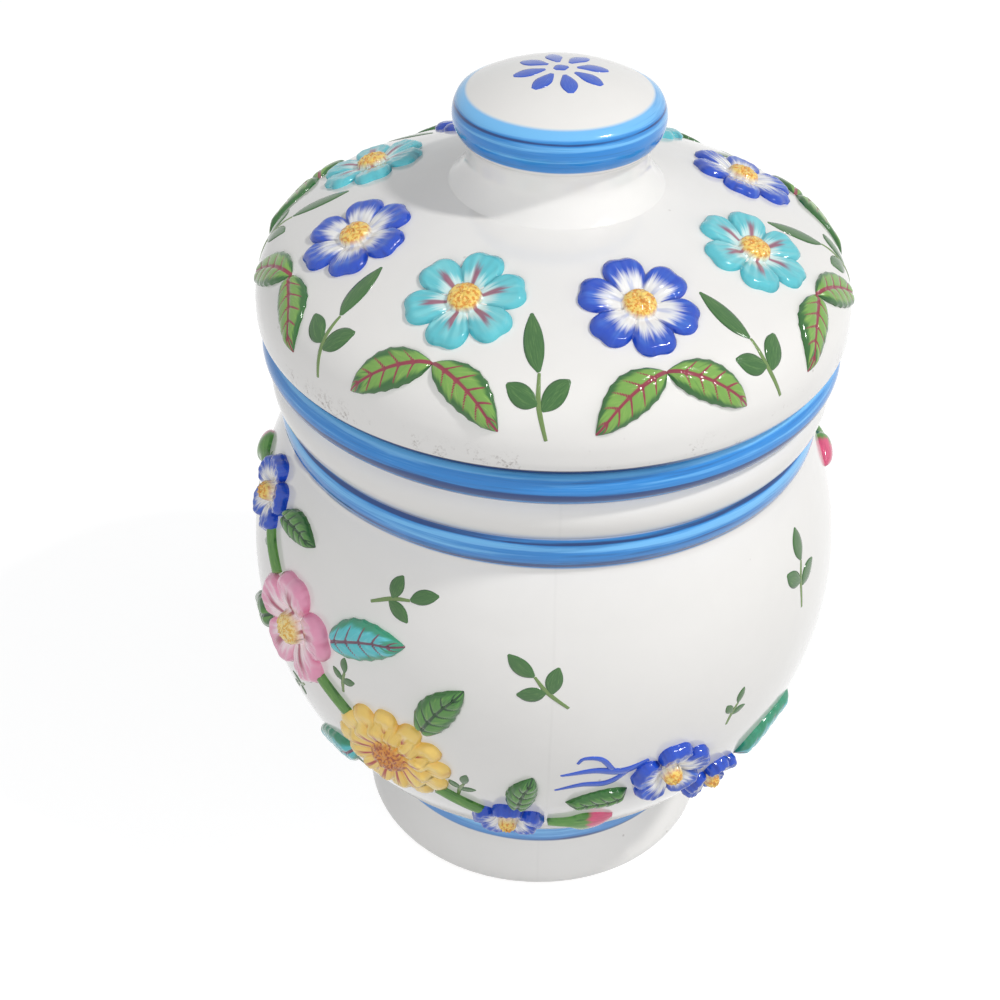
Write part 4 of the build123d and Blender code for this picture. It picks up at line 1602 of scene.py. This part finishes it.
    def knob_rosette(self) -> None:
        """Simple eight-petalled cobalt rosette painted on the knob's top."""
        petals = 8
        strokes = []
        for index in range(petals):
            angle = index * 360 / petals + 12
            path = turned([(0, 0), (4.6, 0.3), (9.2, 0)], angle, at_edge(4.0, angle, 0.0))
            strokes.append(Stroke(path, (0.8, 3.0, 4.6, 4.0, 1.2), (0.1, 0.16, 0.18, 0.16, 0.1)))
        strokes.append(Stroke(turned([(-2.2, 0), (0, 0.2), (2.2, 0)], 30), (1.2, 4.0, 1.2), (0.12, 0.16, 0.12)))
        self.add(Strokes("knob_rosette", self.knob, self.knob.top(), Paint.COBALT, 2.0, tuple(strokes)))

    def build(self) -> None:
        """Make every ornament."""
        for side, half_turn in HALVES:
            self.garland(side, half_turn)
        self.lid_ring()
        self.sprigs()
        for side, half_turn in HALVES:
            self.add(Strokes(f"{side}_cobalt_scroll", self.belly, self.belly.touch(half_turn + 13, 88),
                             Paint.COBALT, 7.0, SCROLL))
        self.knob_rosette()


# Studio


@dataclass(frozen=True)
class Lamp:
    """Round soft lamp: its place and size in metres, power in watts, tint and whether it is mirrored."""

    name: str
    place: tuple[float, float, float]
    size: float
    power: float
    colour: Colour
    mirrored: bool = False

    def build(self, aim: Vector) -> None:
        """Hang the lamp and point it at a place."""
        data = bpy.data.lights.new(self.name, "AREA")
        data.shape = "DISK"
        data.size = self.size
        data.energy = self.power
        data.color = self.colour
        lamp = put(self.name, data)
        lamp.visible_glossy = self.mirrored
        lamp.location = self.place
        lamp.rotation_euler = (aim - Vector(self.place)).to_track_quat("-Z", "Y").to_euler()


@dataclass(frozen=True)
class Studio:
    """Floor, lamps, world and the camera at the photograph's angle."""

    camera_place: tuple[float, float, float] = (0.0, -0.43156, 0.43965)
    aim_z: float = 0.140
    pan: float = 0.02579672
    tilt: float = -0.03759447
    roll: float = -0.03921016
    lens: float = 61.41
    glow: float = 0.29
    glow_tint: Colour = (0.975, 0.99, 1.0)
    floor_half: float = 4.0
    floor_grey: Colour = (0.42, 0.42, 0.42)
    floor_shine: float = 0.80
    lamps: tuple[Lamp, ...] = (
        Lamp("key", (0.80, -0.28, 1.38), 0.13, 10.0, (1.0, 0.99, 0.975), mirrored=True),
        Lamp("front_fill", (-0.55, -1.5, 0.75), 1.3, 12.5, (0.985, 0.99, 1.0)),
        Lamp("side_fill", (1.55, -0.35, 0.45), 1.1, 6.5, (0.99, 0.995, 1.0)),
    )

    def camera(self) -> None:
        """Place the camera and turn it by its pan, tilt and roll."""
        place = Vector(self.camera_place)
        ahead = (Vector((0, 0, self.aim_z)) - place).normalized()
        right = Vector((1, 0, 0))
        up = right.cross(ahead)
        pan = Matrix.Rotation(self.pan, 3, up)
        ahead, right = pan @ ahead, pan @ right
        tilt = Matrix.Rotation(self.tilt, 3, right)
        ahead, up = tilt @ ahead, tilt @ up
        roll = Matrix.Rotation(self.roll, 3, ahead)
        right, up = roll @ right, roll @ up
        data = bpy.data.cameras.new("photo_camera")
        data.sensor_width = 36.0
        data.lens = self.lens
        data.clip_start = 0.01
        camera = put("photo_camera", data)
        camera.matrix_world = Matrix.Translation(place) @ Matrix((right, up, -ahead)).transposed().to_4x4()
        bpy.context.scene.camera = camera

    def world(self) -> None:
        """Even pale surroundings that show white to the camera."""
        world = bpy.data.worlds.new("studio_world")
        bpy.context.scene.world = world
        world.use_nodes = True
        g = Graph(world.node_tree)
        background = world.node_tree.nodes["Background"]
        g.feed(background.inputs["Color"], self.glow_tint)
        g.feed(background.inputs["Strength"], g.seen() * (1.0 - self.glow) + self.glow)

    def floor(self) -> None:
        """Plain pale floor that keeps the jar's shadow."""
        line = np.array([-self.floor_half, self.floor_half])
        x, y = np.meshgrid(line, line)
        mesh = bpy.data.meshes.new("studio_floor")
        mesh.from_pydata(columns_of(x, y, np.zeros(x.shape)).tolist(), [], grid_faces(2, 2, False))
        floor = put("studio_floor", mesh)
        material = bpy.data.materials.new("studio_floor_paint")
        material.use_nodes = True
        g = Graph(material.node_tree)
        shader = material.node_tree.nodes["Principled BSDF"]
        grain = g.noise(g.place(), 300.0) * 0.03 + 0.985
        for key, value in (("Roughness", 0.9), ("Specular IOR Level", 0.0),
                           ("Base Color", g.tint(self.floor_grey, grain)), ("Emission Color", (1.0, 1.0, 1.0)),
                           ("Emission Strength", g.seen() * self.floor_shine)):
            g.feed(shader.inputs[key], value)
        mesh.materials.append(material)

    def build(self) -> None:
        """Set the whole studio."""
        bpy.context.scene.view_settings.view_transform = "Standard"
        self.camera()
        self.world()
        self.floor()
        for lamp in self.lamps:
            lamp.build(Vector((0, 0, self.aim_z)))
        log.info("studio is set")


def main() -> None:
    """Build every sub-assembly in order and report it."""
    logging.basicConfig(level=logging.INFO, format="%(name)s %(message)s")
    Studio().build()
    shop = Workshop()
    JarPot().build(shop)
    LidPot().build(shop)
    Ornaments(shop).build()


if __name__ == "__main__":
    main()
